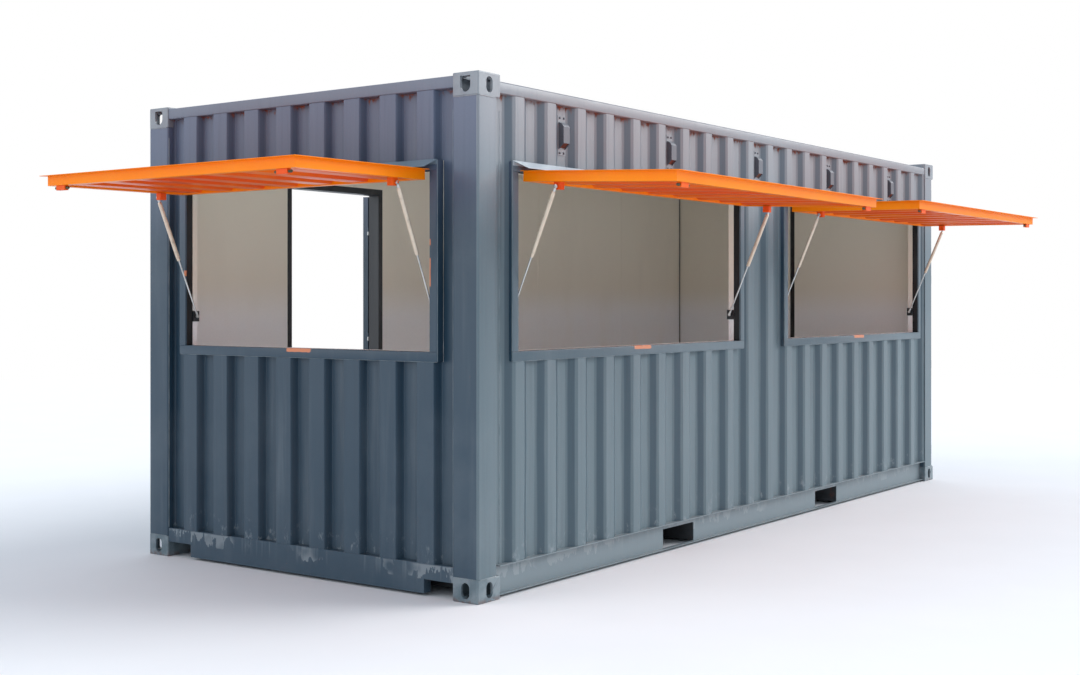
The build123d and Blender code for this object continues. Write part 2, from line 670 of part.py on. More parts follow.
def strut_cylinder():
    """The pressure tube of a gas strut with its upper eye and a bore for the rod."""
    body = rod((0, 0, -STRUT_CYLINDER_START), (0, 0, -CYLINDER_END), STRUT_CYLINDER_RADIUS)
    body -= rod((0, 0, -STRUT_BORE_START), (0, 0, -CYLINDER_END), STRUT_ROD_RADIUS + STRUT_ROD_CLEARANCE)
    half = STRUT_EYE_WIDTH / 2
    eye = strut_eye(-STRUT_CYLINDER_START)
    return body + eye - rod((-half, 0, 0), (half, 0, 0), STRUT_PIN_RADIUS + STRUT_PIN_CLEARANCE)


def strut_rod(length):
    """The rod of a gas strut with its lower eye, reaching up into the tube."""
    shaft = rod((0, 0, STRUT_EYE_RADIUS), (0, 0, ROD_LENGTH), STRUT_ROD_RADIUS)
    return Pos(0, 0, -length) * (shaft + strut_eye(STRUT_CYLINDER_START))


def foot_bracket(width, side):
    """The plate and boss on the jamb that carry the strut's foot, in the opening's frame."""
    jamb = side * width / 2
    y, z = strut_foot()
    back = AXIS_OUT + SURROUND
    plate = block(jamb, jamb - side * FOOT_PLATE, back, back + FOOT_PLATE_DEPTH,
                  z - FOOT_PLATE_HEIGHT / 2, z + FOOT_PLATE_HEIGHT / 2)
    tip = jamb - side * (STRUT_FROM_JAMB - STRUT_EYE_WIDTH / 2 - FOOT_BOSS_GAP)
    return plate + rod((jamb, y, z), (tip, y, z), FOOT_BOSS_RADIUS)


def wall_vent(x):
    """A hooded vent in a recess of the service wall, open at the foot of its hood."""
    y0 = SERVICE + SHEET_INSET + SIDE_DEPTH
    vent = block(x - VENT_WIDTH / 2, x + VENT_WIDTH / 2, y0 - VENT_FLANGE, y0, VENT_Z, VENT_Z + VENT_HEIGHT)
    y1 = y0 - HOOD_DEPTH
    crown = VENT_Z + VENT_HEIGHT - HOOD_FROM_VENT_TOP
    foot = crown - HOOD_HEIGHT
    profile = [(y0, crown), (y1, crown - HOOD_DEPTH / 2), (y1, foot), (y0, foot - HOOD_DEPTH)]
    outline = [(x - HOOD_WIDTH / 2, y, z) for y, z in profile]
    return vent + prism(outline, (1, 0, 0), HOOD_WIDTH)


def cargo_leaf():
    """The service-side leaf of the cargo doors: a frame round a pressed sheet with sunk fields."""
    y0, y1 = LEAF_Y0, -LEAF_CENTRE_GAP / 2
    z0 = RAIL_TOP + LEAF_GAP
    stile = LEAF_STILE
    leaf = block(LEAF_INNER, LEAF_OUTER, y0, y1, z0, LEAF_TOP)
    web_back = LEAF_OUTER - LEAF_FIELD_DEPTH - LEAF_WEB
    leaf -= block(LEAF_INNER, web_back, y0 + stile, y1 - stile, z0 + stile, LEAF_TOP - stile)
    step = (LEAF_TOP - z0 - stile) / LEAF_FIELDS
    for number in range(LEAF_FIELDS):
        foot = z0 + stile + number * step
        leaf -= block(LEAF_OUTER - LEAF_FIELD_DEPTH, LEAF_OUTER, y0 + stile, y1 - stile,
                      foot, foot + step - stile)
    return leaf


def cargo_hinge(z):
    """A strap hinge with a round eye, across the gap between the rear post and the leaf."""
    y0 = SERVICE + CARGO_EYE_IN
    eye = Pos(LEAF_OUTER + CARGO_EYE_RADIUS, y0) * Circle(CARGO_EYE_RADIUS)
    strap = Pos(LEAF_OUTER + CARGO_HINGE_PLATE / 2, y0 + CARGO_HINGE_LENGTH / 2)
    plan = eye + strap * Rectangle(CARGO_HINGE_PLATE, CARGO_HINGE_LENGTH)
    return Pos(0, 0, z - CARGO_HINGE_HEIGHT / 2) * extrude(plan, amount=CARGO_HINGE_HEIGHT)


LOCK_ROD_X = LEAF_OUTER + LOCK_ROD_STAND_OFF + LOCK_ROD_RADIUS
GUIDE_FACE = LEAF_OUTER + LOCK_ROD_STAND_OFF


def lock_rod(y):
    """A full-height door lock rod that reaches onto the sill and the header."""
    return rod((LOCK_ROD_X, y, RAIL_TOP - LOCK_ROD_OVERRUN), (LOCK_ROD_X, y, HEADER_Z + LOCK_ROD_OVERRUN),
               LOCK_ROD_RADIUS)


def lock_rod_guides(y):
    """Pads on the leaf that the lock rod turns on."""
    low, high = RAIL_TOP + GUIDE_END_MARGIN, LEAF_TOP - GUIDE_END_MARGIN
    step = (high - low) / (GUIDES_PER_ROD - 1)
    half_y, half_z = GUIDE_WIDTH / 2, GUIDE_HEIGHT / 2
    return [block(LEAF_OUTER, GUIDE_FACE, y - half_y, y + half_y, z - half_z, z + half_z)
            for z in (low + number * step for number in range(GUIDES_PER_ROD))]


def lock_handle(y, side):
    """A flat handle bar from a lock rod towards the middle of the leaf, beside the rod's back."""
    thick, tall = LOCK_HANDLE_BAR
    start = y + side * LOCK_ROD_RADIUS
    return block(LOCK_ROD_X - thick / 2, LOCK_ROD_X + thick / 2, start, start + side * LOCK_HANDLE_LENGTH,
                 LOCK_HANDLE_HEIGHT - tall / 2, LOCK_HANDLE_HEIGHT + tall / 2)


save("bottom_corner_castings", four_corners(corner_casting(False)))
save("top_corner_castings", four_corners(corner_casting(True)))
save("front_corner_posts", both_sides(front_post()))
save("rear_corner_posts", both_sides(rear_post()))
save("front_bottom_rail", [front_bottom_rail()])
save("side_bottom_rails", both_sides(side_bottom_rail()))
save("door_sill", [tube_between(SILL_FRONT, LEAF_OUTER, SERVICE + CASTING_Y, BACK - CASTING_Y,
                                RAIL_BOTTOM, RAIL_TOP, RAIL_PLATE, "y")])
save("front_top_rail", [tube_between(FRONT + TOP_RAIL_INSET, FRONT + TOP_RAIL_INSET + FRONT_TOP_RAIL_SIZE,
                                     SERVICE + CASTING_Y, BACK - CASTING_Y, FRONT_RAIL_Z,
                                     FRONT_RAIL_Z + FRONT_TOP_RAIL_SIZE, TOP_RAIL_WALL, "y")])
save("side_top_rails", both_sides(tube_between(
    FRONT + CASTING_X, REAR - CASTING_X, SERVICE + TOP_RAIL_INSET,
    SERVICE + TOP_RAIL_INSET + SIDE_TOP_RAIL_WIDTH, SIDE_RAIL_Z,
    SIDE_RAIL_Z + SIDE_TOP_RAIL_HEIGHT, TOP_RAIL_WALL, "x")))
save("door_header", [tube_between(LEAF_OUTER - HEADER_DEPTH, LEAF_OUTER, SERVICE + CASTING_Y,
                                  BACK - CASTING_Y, HEADER_Z, HEADER_Z + HEADER_HEIGHT, TOP_RAIL_WALL, "y")])
save("crossmembers", crossmembers())
save("fork_pockets", [fork_pocket(centre) for centre in POCKET_CENTRES])
save("floor_boards", [block(FRONT + FRONT_RAIL_INSET + FRONT_RAIL_FLANGE, SILL_FRONT,
                            SERVICE + SIDE_RAIL_BACK, BACK - SIDE_RAIL_BACK,
                            FLOOR_TOP - FLOOR_THICKNESS, FLOOR_TOP)])
save("roof_sheet", [roof_sheet()])
save("roof_end_plates", roof_end_plates())

# Walls, split into bands over and under the openings and piers beside them
SILL_Z = OPENING_BOTTOM - SURROUND
HEAD_Z = OPENING_TOP + SURROUND
WALL_Y0, WALL_Y1 = SERVICE + CASTING_Y, BACK - CASTING_Y
WALL_X0, WALL_X1 = FRONT + CASTING_X, REAR - CASTING_X
END_HALF = END_OPENING_WIDTH / 2
SIDE_HALF = SIDE_OPENING_WIDTH / 2
save("front_wall_bands", [front_sheet(WALL_Y0, WALL_Y1, RAIL_TOP, SILL_Z),
                          front_sheet(WALL_Y0, WALL_Y1, HEAD_Z, FRONT_RAIL_Z)])
save("front_wall_piers", [front_sheet(WALL_Y0, -END_HALF - SURROUND, SILL_Z, HEAD_Z),
                          front_sheet(END_HALF + SURROUND, WALL_Y1, SILL_Z, HEAD_Z)])
save("service_wall_bands", [side_sheet(WALL_X0, WALL_X1, RAIL_TOP, SILL_Z),
                            side_sheet(WALL_X0, WALL_X1, HEAD_Z, SIDE_RAIL_Z)])
save("service_wall_piers", [
    side_sheet(WALL_X0, NEAR_X - SIDE_HALF - SURROUND, SILL_Z, HEAD_Z),
    side_sheet(NEAR_X + SIDE_HALF + SURROUND, FAR_X - SIDE_HALF - SURROUND, SILL_Z, HEAD_Z),
    side_sheet(FAR_X + SIDE_HALF + SURROUND, WALL_X1, SILL_Z, HEAD_Z)])
DOOR_X0 = FRONT + DOORWAY_START
DOOR_X1 = DOOR_X0 + DOORWAY_WIDTH
FRAME_X0 = DOOR_X0 - DOOR_FRAME_FACE
FRAME_X1 = DOOR_X1 + DOOR_FRAME_FACE
FRAME_TOP = DOORWAY_TOP + DOOR_FRAME_FACE
save("back_wall_sides", [to_back(side_sheet(WALL_X0, FRAME_X0, RAIL_TOP, SIDE_RAIL_Z)),
                         to_back(side_sheet(FRAME_X1, WALL_X1, RAIL_TOP, SIDE_RAIL_Z))])
save("back_wall_over_door", [to_back(side_sheet(FRAME_X0, FRAME_X1, FRAME_TOP, SIDE_RAIL_Z))])
vent_x = [FRONT + SIDE_FOLD_START + number * VENT_SPACING_IN_FOLDS * SIDE_PITCH
          for number in range(VENTS_PER_WALL)]
vents = [wall_vent(x) for x in vent_x]
save("wall_vents", vents + [to_back(vent) for vent in vents])

# Hatch openings and what is fixed round them
heads, jambs, flashings, lugs, feet = [], [], [], [], []
for hatch in HATCHES:
    place, width = at_opening(hatch), hatch[3]
    heads += [place * piece for piece in surround_head_and_sill(width)]
    jambs += [place * piece for piece in surround_jambs(width)]
    flashings.append(place * rain_flashing(width))
    lugs += [place * hinge_lug(middle) for middle in hinge_places(width)]
    feet += [place * foot_bracket(width, side) for side in (-1, 1)]
save("hatch_heads_and_sills", heads)
save("hatch_jambs", jambs)
save("rain_flashings", flashings)
save("hatch_hinge_lugs", lugs)
save("strut_foot_brackets", feet)

# Hatches and their gas struts, open as stored
FRONT_FOLDS = (FRONT_PITCH, FRONT_FLAT, FRONT_SLOPE, HATCH_THICKNESS - 2 * HATCH_SHEET_TOP - SHEET)
SIDE_FOLDS = (SIDE_PITCH, SIDE_FLAT, SIDE_SLOPE, SIDE_DEPTH)
for hatch in HATCHES:
    name, width, tilt = hatch[0], hatch[3], hatch[4]
    place = at_hatch(hatch)
    folds = FRONT_FOLDS if name == "end" else SIDE_FOLDS
    save(f"{name}_hatch_frame", [place * hatch_frame(width)])
    save(f"{name}_hatch_sheet", [place * hatch_sheet(width, *folds)])
    save(f"{name}_hatch_fittings", [place * piece for piece in hatch_fittings(width)])
    length = strut_turn(tilt)[1]
    save(f"{name}_strut_cylinders", [at_strut(hatch, side) * strut_cylinder() for side in (-1, 1)])
    save(f"{name}_strut_rods", [at_strut(hatch, side) * strut_rod(length) for side in (-1, 1)])

# Doorway and its leaf, folded back outside
FRAME_Y0 = BACK - LINING_INNER
save("doorway_jambs", [block(FRAME_X0, DOOR_X0, FRAME_Y0, BACK, FLOOR_TOP, DOORWAY_TOP),
                       block(DOOR_X1, FRAME_X1, FRAME_Y0, BACK, FLOOR_TOP, DOORWAY_TOP)])
save("doorway_head", [block(FRAME_X0, FRAME_X1, FRAME_Y0, BACK, DOORWAY_TOP, FRAME_TOP)])
AXIS_X, AXIS_Y = DOOR_X1 + DOOR_AXIS_SIDE, BACK + DOOR_AXIS_OUT
LEAF_X0, LEAF_X1 = DOOR_X0 + DOOR_GAP, DOOR_X1 - DOOR_GAP
LEAF_Z0, LEAF_Z1 = FLOOR_TOP + DOOR_GAP, DOORWAY_TOP - DOOR_GAP


def door_hinge(z, moving):
    """Half of a door hinge: the upper barrel turns with the leaf and the lower one is on the frame."""
    gap, half = DOOR_KNUCKLE_GAP / 2, DOOR_KNUCKLE_LENGTH / 2
    z0, z1 = (z + gap, z + half) if moving else (z - half, z - gap)
    plan = Pos(AXIS_X, AXIS_Y) * Circle(KNUCKLE_RADIUS)
    if moving:
        lift = DOOR_STRAP_LIFT
        middle = Pos(AXIS_X - DOOR_HINGE_REACH / 2, BACK + lift + HINGE_STRAP / 2)
        plan += middle * Rectangle(DOOR_HINGE_REACH, HINGE_STRAP)
        length = LEAF_X1 - AXIS_X + DOOR_HINGE_REACH
        plan += Pos(LEAF_X1 - length / 2, BACK + lift / 2) * Rectangle(length, lift)
    else:
        middle = Pos((AXIS_X + FRAME_X1) / 2, BACK + HINGE_STRAP / 2)
        plan += middle * Rectangle(FRAME_X1 - AXIS_X, HINGE_STRAP)
    return Pos(0, 0, z0) * extrude(plan, amount=z1 - z0)


def door_handle(outward):
    """A lever handle on its back plate, on the outer face of the shut leaf or the inner one."""
    x, z = LEAF_X0 + HANDLE_FROM_EDGE, FLOOR_TOP + HANDLE_HEIGHT
    face = BACK if outward else BACK - DOOR_THICKNESS
    away = 1 if outward else -1
    wide, tall, thick = HANDLE_PLATE
    grip, half = face + away * HANDLE_STAND_OFF, HANDLE_BAR / 2
    plate = block(x - wide / 2, x + wide / 2, face, face + away * thick, z - tall / 2, z + tall / 2)
    neck = block(x - half, x + half, face, grip, z - half, z + half)
    return plate + neck + block(x - half, x + HANDLE_LEVER, grip - half, grip + half, z - half, z + half)


def door_leaf():
    """The shut personnel door with a shallow sunk field on each face, and its hinge halves."""
    margin, sunk = DOOR_FIELD_MARGIN, DOOR_FACE_RECESS
    leaf = block(LEAF_X0, LEAF_X1, BACK - DOOR_THICKNESS, BACK, LEAF_Z0, LEAF_Z1)
    for y0, y1 in ((BACK - sunk, BACK), (BACK - DOOR_THICKNESS, BACK - DOOR_THICKNESS + sunk)):
        leaf -= block(LEAF_X0 + margin, LEAF_X1 - margin, y0, y1, LEAF_Z0 + margin, LEAF_Z1 - margin)
    for z in DOOR_HINGE_Z:
        leaf += door_hinge(z, True)
    return leaf


TOP_HINGE_Z = DOORWAY_TOP - DOOR_HINGE_FROM_TOP
DOOR_HINGE_Z = [TOP_HINGE_Z - number * DOOR_HINGE_SPACING for number in range(DOOR_HINGES)]
fold_back = Pos(AXIS_X, AXIS_Y, 0) * Rot(0, 0, -DOOR_OPEN_ANGLE) * Pos(-AXIS_X, -AXIS_Y, 0)
save("door_leaf", [fold_back * door_leaf()])
save("door_handles", [fold_back * door_handle(True), fold_back * door_handle(False)])
save("door_hinge_lugs", [door_hinge(z, False) for z in DOOR_HINGE_Z])

# White lining inside, in panels with narrow joints
LINE = SURROUND_BACK
FRONT_LINE = SHEET_INSET + FRONT_DEPTH + SHEET
X_IN, Y_IN = FRONT + LINING_INNER, SERVICE + LINING_INNER
X_START, X_END = X_IN + LINING_JOINT, REAR_LINING - LINING_JOINT


def front_lining(y0, y1, z0, z1):
    """A lining panel of the front wall."""
    return block(FRONT + FRONT_LINE, X_IN, y0, y1, z0, z1)


def side_lining(x0, x1, z0, z1):
    """A lining panel of the service wall."""
    return block(x0, x1, SERVICE + LINE, Y_IN, z0, z1)


save("lining_bands", [front_lining(SERVICE + LINE, BACK - LINE, FLOOR_TOP, OPENING_BOTTOM),
                      front_lining(SERVICE + LINE, BACK - LINE, OPENING_TOP, CEILING_Z),
                      side_lining(X_START, X_END, FLOOR_TOP, OPENING_BOTTOM),
                      side_lining(X_START, X_END, OPENING_TOP, CEILING_Z)])
save("lining_piers", [front_lining(SERVICE + LINE, -END_HALF, OPENING_BOTTOM, OPENING_TOP),
                      front_lining(END_HALF, BACK - LINE, OPENING_BOTTOM, OPENING_TOP),
                      side_lining(X_START, NEAR_X - SIDE_HALF, OPENING_BOTTOM, OPENING_TOP),
                      side_lining(NEAR_X + SIDE_HALF, FAR_X - SIDE_HALF, OPENING_BOTTOM, OPENING_TOP),
                      side_lining(FAR_X + SIDE_HALF, X_END, OPENING_BOTTOM, OPENING_TOP)])
save("back_lining_sides", [to_back(side_lining(X_START, FRAME_X0, FLOOR_TOP, CEILING_Z)),
                           to_back(side_lining(FRAME_X1, X_END, FLOOR_TOP, CEILING_Z))])
save("back_lining_over_door", [to_back(side_lining(FRAME_X0, FRAME_X1, FRAME_TOP, CEILING_Z))])
save("ceiling_lining", [block(FRONT + FRONT_LINE, LEAF_INNER - LINING_JOINT, SERVICE + LINE, BACK - LINE,
                              CEILING_Z, CEILING_Z + CEILING_THICKNESS)])
save("rear_lining", both_sides(block(REAR_LINING, LEAF_INNER, LEAF_Y0, -SEAL_WIDTH / 2,
                                     FLOOR_TOP + LEAF_GAP, CEILING_Z - LINING_JOINT)))
save("centre_seal", [block(REAR_LINING, LEAF_INNER, -SEAL_WIDTH / 2, SEAL_WIDTH / 2,
                           FLOOR_TOP + LEAF_GAP, CEILING_Z - LINING_JOINT)])

# Cargo doors, shut
save("cargo_door_leaves", both_sides(cargo_leaf()))
hinge_top = HEIGHT - CARGO_HINGE_LAST_DROP
hinge_step = (hinge_top - CARGO_HINGE_FIRST) / (CARGO_HINGES - 1)
hinge_z = [CARGO_HINGE_FIRST + number * hinge_step for number in range(CARGO_HINGES)]
save("cargo_door_hinges", [piece for z in hinge_z for piece in both_sides(cargo_hinge(z))])
rod_y = [side * offset for offset in LOCK_ROD_OFFSETS for side in (-1, 1)]
save("cargo_door_lock_rods", [lock_rod(y) for y in rod_y])
save("lock_rod_guides", [pad for y in rod_y for pad in lock_rod_guides(y)])
save("lock_rod_handles", [lock_handle(y, 1 if y < 0 else -1) for y in rod_y])
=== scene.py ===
import json
import math

import bmesh
import bpy
import numpy as np
from bpy.props import FloatProperty, FloatVectorProperty, IntProperty, PointerProperty
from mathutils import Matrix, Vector

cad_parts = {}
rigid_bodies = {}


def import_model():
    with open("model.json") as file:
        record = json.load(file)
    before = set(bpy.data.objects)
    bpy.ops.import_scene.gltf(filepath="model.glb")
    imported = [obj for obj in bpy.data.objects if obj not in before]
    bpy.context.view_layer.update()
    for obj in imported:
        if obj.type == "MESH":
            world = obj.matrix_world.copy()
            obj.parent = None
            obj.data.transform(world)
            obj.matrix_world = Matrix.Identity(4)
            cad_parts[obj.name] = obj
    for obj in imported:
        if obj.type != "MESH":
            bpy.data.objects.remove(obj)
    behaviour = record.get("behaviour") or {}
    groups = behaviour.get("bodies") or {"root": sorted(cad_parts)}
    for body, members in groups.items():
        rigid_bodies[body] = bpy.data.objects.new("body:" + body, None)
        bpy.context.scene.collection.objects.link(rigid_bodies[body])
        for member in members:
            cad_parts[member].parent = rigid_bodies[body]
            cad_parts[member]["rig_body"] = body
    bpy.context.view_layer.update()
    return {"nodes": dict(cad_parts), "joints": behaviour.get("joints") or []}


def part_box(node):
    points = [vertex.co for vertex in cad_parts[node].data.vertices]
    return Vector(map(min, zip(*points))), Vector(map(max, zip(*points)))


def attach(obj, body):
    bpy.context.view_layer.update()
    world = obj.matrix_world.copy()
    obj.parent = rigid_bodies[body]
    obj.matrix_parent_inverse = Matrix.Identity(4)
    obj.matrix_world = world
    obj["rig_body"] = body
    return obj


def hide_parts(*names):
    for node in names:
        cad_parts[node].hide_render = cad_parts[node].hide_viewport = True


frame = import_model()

bl_info = {
    "name": "Serving cabin",
    "version": (1, 0, 0),
    "blender": (4, 5, 0),
    "location": "View3D > Sidebar > Cabin",
    "description": "Dresses a container-sized serving cabin with three top-hung hatches",
    "category": "Object",
}


def srgb(red, green, blue):
    """The linear colour of three screen values from 0 to 255."""
    values = np.array([red, green, blue]) / 255
    linear = np.where(values <= 0.04045, values / 12.92, ((values + 0.055) / 1.055) ** 2.4)
    return tuple(float(value) for value in linear)


def length(name, text, default, low=0.0, high=10.0):
    """A length in metres that the panel can change."""
    return FloatProperty(name=name, description=text, default=default, min=low, max=high,
                         unit="LENGTH", precision=4)


def share(name, text, default, low=0.0, high=1.0):
    """A plain factor that the panel can change."""
    return FloatProperty(name=name, description=text, default=default, min=low, max=high)


def colour(name, text, default):
    """A colour that the panel can change."""
    return FloatVectorProperty(name=name, description=text, default=default, size=3, min=0.0, max=1.0,
                               subtype="COLOR")


class CabinSheets(bpy.types.PropertyGroup):
    """Folds of the pressed sheets, and sizes of the lining boards and steel edges."""
    side_pitch: length("Side pitch", "Distance between two folds of a long wall", 0.278)
    side_flat: length("Side flat", "Width of an outer flat of a long wall", 0.072)
    side_slope: length("Side slope", "Width of a sloped web of a long wall", 0.068)
    side_depth: length("Side depth", "Depth of a fold of a long wall", 0.036)
    side_first: length("Side first recess", "Distance of a recess from the front end", 0.765)
    end_pitch: length("End pitch", "Distance between two folds of the front wall", 0.250)
    end_flat: length("End flat", "Width of an outer flat of the front wall", 0.110)
    end_slope: length("End slope", "Width of a steep web of the front wall", 0.018)
    end_depth: length("End depth", "Depth of a fold of the front wall", 0.0456)
    roof_pitch: length("Roof pitch", "Distance between two folds of the roof", 0.209)
    roof_flat: length("Roof flat", "Width of a crest of the roof", 0.091)
    roof_slope: length("Roof slope", "Width of a web of the roof", 0.0135)
    roof_depth: length("Roof depth", "Depth of a fold of the roof", 0.020)
    bend: length("Bend radius", "Radius of the pressed bends", 0.0055)
    sheet: length("Sheet", "Thickness of the pressed sheets", 0.002)
    board: length("Lining board", "Width of the lining boards", 1.22)
    strip: length("Joint strip", "Width of the strips over the joints of the lining", 0.026)
    waviness: length("Waviness", "Height of the shallow dents in the sheets", 0.0009)
    edge: length("Steel edge", "Rounding of rolled and welded steel edges", 0.005)


class CabinHatches(bpy.types.PropertyGroup):
    """Sizes of the hatches and what hangs on them."""
    lip: length("Lip overhang", "Overhang of the weather lip past the frame", 0.030)
    member: length("Member", "Width of the hatch frame's members", 0.040)
    thickness: length("Frame depth", "Depth of the hatch frame", 0.050)
    face: length("Face drop", "Drop of the hatch's top face from the hinge axis", 0.007)
    start: length("Start", "Distance of the frame from the hinge axis", 0.013)
    tube: length("Tube radius", "Radius of a strut's pressure tube", 0.011)
    rod: length("Rod radius", "Radius of a strut's rod", 0.0045)
    tube_end: length("Tube end", "Distance of the pressure tube's open end from its eye", 0.380)
    dark_strip: length("Seal thickness", "Thickness of the black strip round the openings", 0.0016)


class CabinColours(bpy.types.PropertyGroup):
    """Colours of the cabin's finishes."""
    # The colours for high up are a painted reflection of the sky, and the paler service-side colours are
    # painted light on the lit side; the roof and the vent flanges take two of them as plain paint
    container: colour("Container", "Slate blue container paint", srgb(38, 63, 80))
    container_sheen_and_roof: colour("Container, high", "Container paint towards the roof", srgb(96, 105, 126))
    faded: colour("Faded", "Container paint on the service side", srgb(96, 113, 120))
    lit_side_high_and_vent_grey: colour("Faded, high", "Container paint on the service side towards the roof",
                       srgb(140, 144, 149))
    vent: colour("Vents", "Grey paint of the vent hoods", srgb(98, 102, 110))
    trim: colour("Corner trim", "Grey joint filler in the corners of the lining", srgb(120, 117, 113))
    dust: colour("Dust", "Pale dust and water marks", srgb(150, 158, 162))
    rust: colour("Rust", "Rust stains", srgb(100, 58, 44))
    fresh_rust: colour("Fresh rust", "Bright rust in the stains", srgb(150, 84, 58))
    hatch: colour("Hatch", "Orange hatch paint", srgb(255, 134, 0))
    hatch_edge: colour("Hatch edge", "Orange paint where it is rubbed paler", srgb(255, 156, 14))
    # Painted shade: the redder orange of the infill and fittings stands for the shade and orange bounce
    # light under the hatches
    hatch_inner: colour("Hatch infill", "Redder orange paint of the folded infill", srgb(240, 88, 26))
    worn: colour("Rub marks", "Orange rubbed off on the surrounds", srgb(236, 140, 84))
    lining: colour("Lining", "White lining sheet", srgb(253, 252, 252))
    lining_high: colour("Lining up high", "Lining lit warm by the hatches", srgb(244, 235, 218))
    black: colour("Black", "Black paint on brackets and frames", srgb(30, 32, 36))
    rubber: colour("Rubber", "Black rubber", srgb(24, 24, 26))
    steel: colour("Steel", "Zinc-plated steel", srgb(200, 200, 198))
    strut: colour("Strut tube", "Yellowed coat of the strut tubes", srgb(222, 206, 186))
    floor: colour("Floor", "Pale worn floor boards", srgb(232, 233, 236))
    flashing: colour("Flashing", "Grey-blue flashing sheet", srgb(120, 136, 148))
    # Painted light: the paler flashing colour of the lit service side
    flashing_lit_side: colour("Faded flashing", "Flashings on the service side", srgb(190, 198, 204))
    catch: colour("Catch", "Dark green bolt of the corner catches", srgb(58, 66, 40))


class CabinStage(bpy.types.PropertyGroup):
    """Camera and light."""
    camera_x: length("Camera X", "Camera place along the container", -8.4934, -100, 100)
    camera_y: length("Camera Y", "Camera place across the container", -5.5284, -100, 100)
    camera_z: length("Camera Z", "Camera height", 1.4734, -100, 100)
    yaw: FloatProperty(name="Yaw", description="Camera heading from +X towards +Y",
                       default=math.radians(35.8), subtype="ANGLE")
    lens: FloatProperty(name="Lens", description="Focal length in millimetres", default=47.905, min=1)
    shift: FloatProperty(name="Shift", description="Vertical lens shift", default=-0.03397)
    floor: colour("Stage floor", "Pale floor under the cabin", srgb(236, 237, 239))
    sky: colour("Sky light", "Soft light from all round", srgb(222, 232, 244))
    sky_level: share("Sky level", "Strength of the light from all round", 0.95, 0, 3)
    key_level: share("Key light", "Strength of the soft light on the service side", 2.6, 0, 20)
    fill_level: share("End light", "Strength of the soft light on the front end", 0.7, 0, 20)
    seed: IntProperty(name="Seed", description="Seed of the dents", default=11)


GROUPS = {"cabin_sheets": CabinSheets, "cabin_hatches": CabinHatches, "cabin_colours": CabinColours,
          "cabin_stage": CabinStage}


def chosen(group):
    """The values of one property group in this scene."""
    return getattr(bpy.context.scene, group)


JOINTS = {joint["name"]: joint for joint in frame["joints"]}
HATCH_NAMES = ("end", "near", "far")
CAD_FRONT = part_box("bottom_corner_castings")[0].x
CAD_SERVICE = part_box("bottom_corner_castings")[0].y

# Sizes in metres
SURROUND_TUBE = 0.050
SURROUND_FRONT = 0.012
HATCH_LENGTH = 0.903
HATCH_GAP = 0.006
LINING_INSET = 0.090
LINING_BACK = 0.038
END_SEAM = 0.6
WALL_STEP = 0.09
BOARD_STEP = 0.4
BOARD_WAVES = 0.0006
SHEET_EDGE = 0.0004
LONG_EDGE = 0.08

# Waves in the dents
WAVES = 8

# Angles past which an edge is sharp, on surfaces, cut sheets and copies, and up to which faces are flat
SHARP_ANGLE = math.radians(32)
SHARP_CUT = math.radians(50)
SHARP_COPY = math.radians(30)
FLAT_JOIN = math.radians(0.6)


# Surfaces

def rounded(points, radius, closed, steps=5):
    """Points of a polygon whose corners are replaced by curves.

    Each corner C becomes the curve (1-t)^2 P + 2t(1-t) C + t^2 Q for t from 0 to 1, where P and Q lie
    on its two sides, radius * tan(half the turn) from C and never past 0.45 of a side.
    """
    points = np.asarray(points, float)
    before, after = np.roll(points, 1, axis=0), np.roll(points, -1, axis=0)
    to_before, to_after = before - points, after - points
    len_before = np.linalg.norm(to_before, axis=1)
    len_after = np.linalg.norm(to_after, axis=1)
    unit_before = to_before / np.maximum(len_before, 1e-9)[:, None]
    unit_after = to_after / np.maximum(len_after, 1e-9)[:, None]
    turn = math.pi - np.arccos(np.clip((unit_before * unit_after).sum(1), -1, 1))
    reach = np.minimum(radius * np.tan(np.minimum(turn, 3.0) / 2), 0.45 * np.minimum(len_before, len_after))
    start, end = points + unit_before * reach[:, None], points + unit_after * reach[:, None]
    t = np.linspace(0, 1, steps)[None, :, None]
    curves = (1 - t) ** 2 * start[:, None] + 2 * t * (1 - t) * points[:, None] + t ** 2 * end[:, None]
    if closed:
        return curves.reshape(-1, points.shape[1])
    middle = curves[1:-1].reshape(-1, points.shape[1])
    return np.vstack([points[:1], middle, points[-1:]])


def fold_line(start, end, first, pitch, flat, slope, depth, bend):
    """Stations along a folded sheet and the depth of the sheet there.

    The depth is 0 on the outer flats, the full depth in the recesses, whose middles are a pitch apart
    from the first one, and linear on the webs between them, with every bend rounded.
    """
    inner = pitch - flat - 2 * slope
    middles = first + pitch * np.arange(math.floor((start - first) / pitch) - 1,
                                        math.ceil((end - first) / pitch) + 2)
    offsets = np.array([-inner / 2 - slope, -inner / 2, inner / 2, inner / 2 + slope])
    corners = (middles[:, None] + offsets).ravel()
    depths = np.tile([0.0, depth, depth, 0.0], len(middles))
    line = rounded(np.column_stack([corners, depths]), bend, False)
    inside = line[(line[:, 0] > start + 1e-4) & (line[:, 0] < end - 1e-4)]
    ends = np.interp([start, end], line[:, 0], line[:, 1])
    return np.vstack([[start, ends[0]], inside, [end, ends[1]]])


def ripple(along, across, seed, height):
    """Shallow dents: a third of a sum of seeded cosine waves, 0.25 to 1.4 m long, times a height."""
    draw = np.random.default_rng(seed)
    total = np.zeros(np.broadcast(along, across).shape)
    for size, heading, phase in zip(draw.uniform(0.25, 1.4, WAVES), draw.uniform(0, math.pi, WAVES),
                                    draw.uniform(0, 2 * math.pi, WAVES)):
        turn = 2 * math.pi / size
        total = total + np.cos(turn * (along * math.cos(heading) + across * math.sin(heading)) + phase)
    return height * total / 3


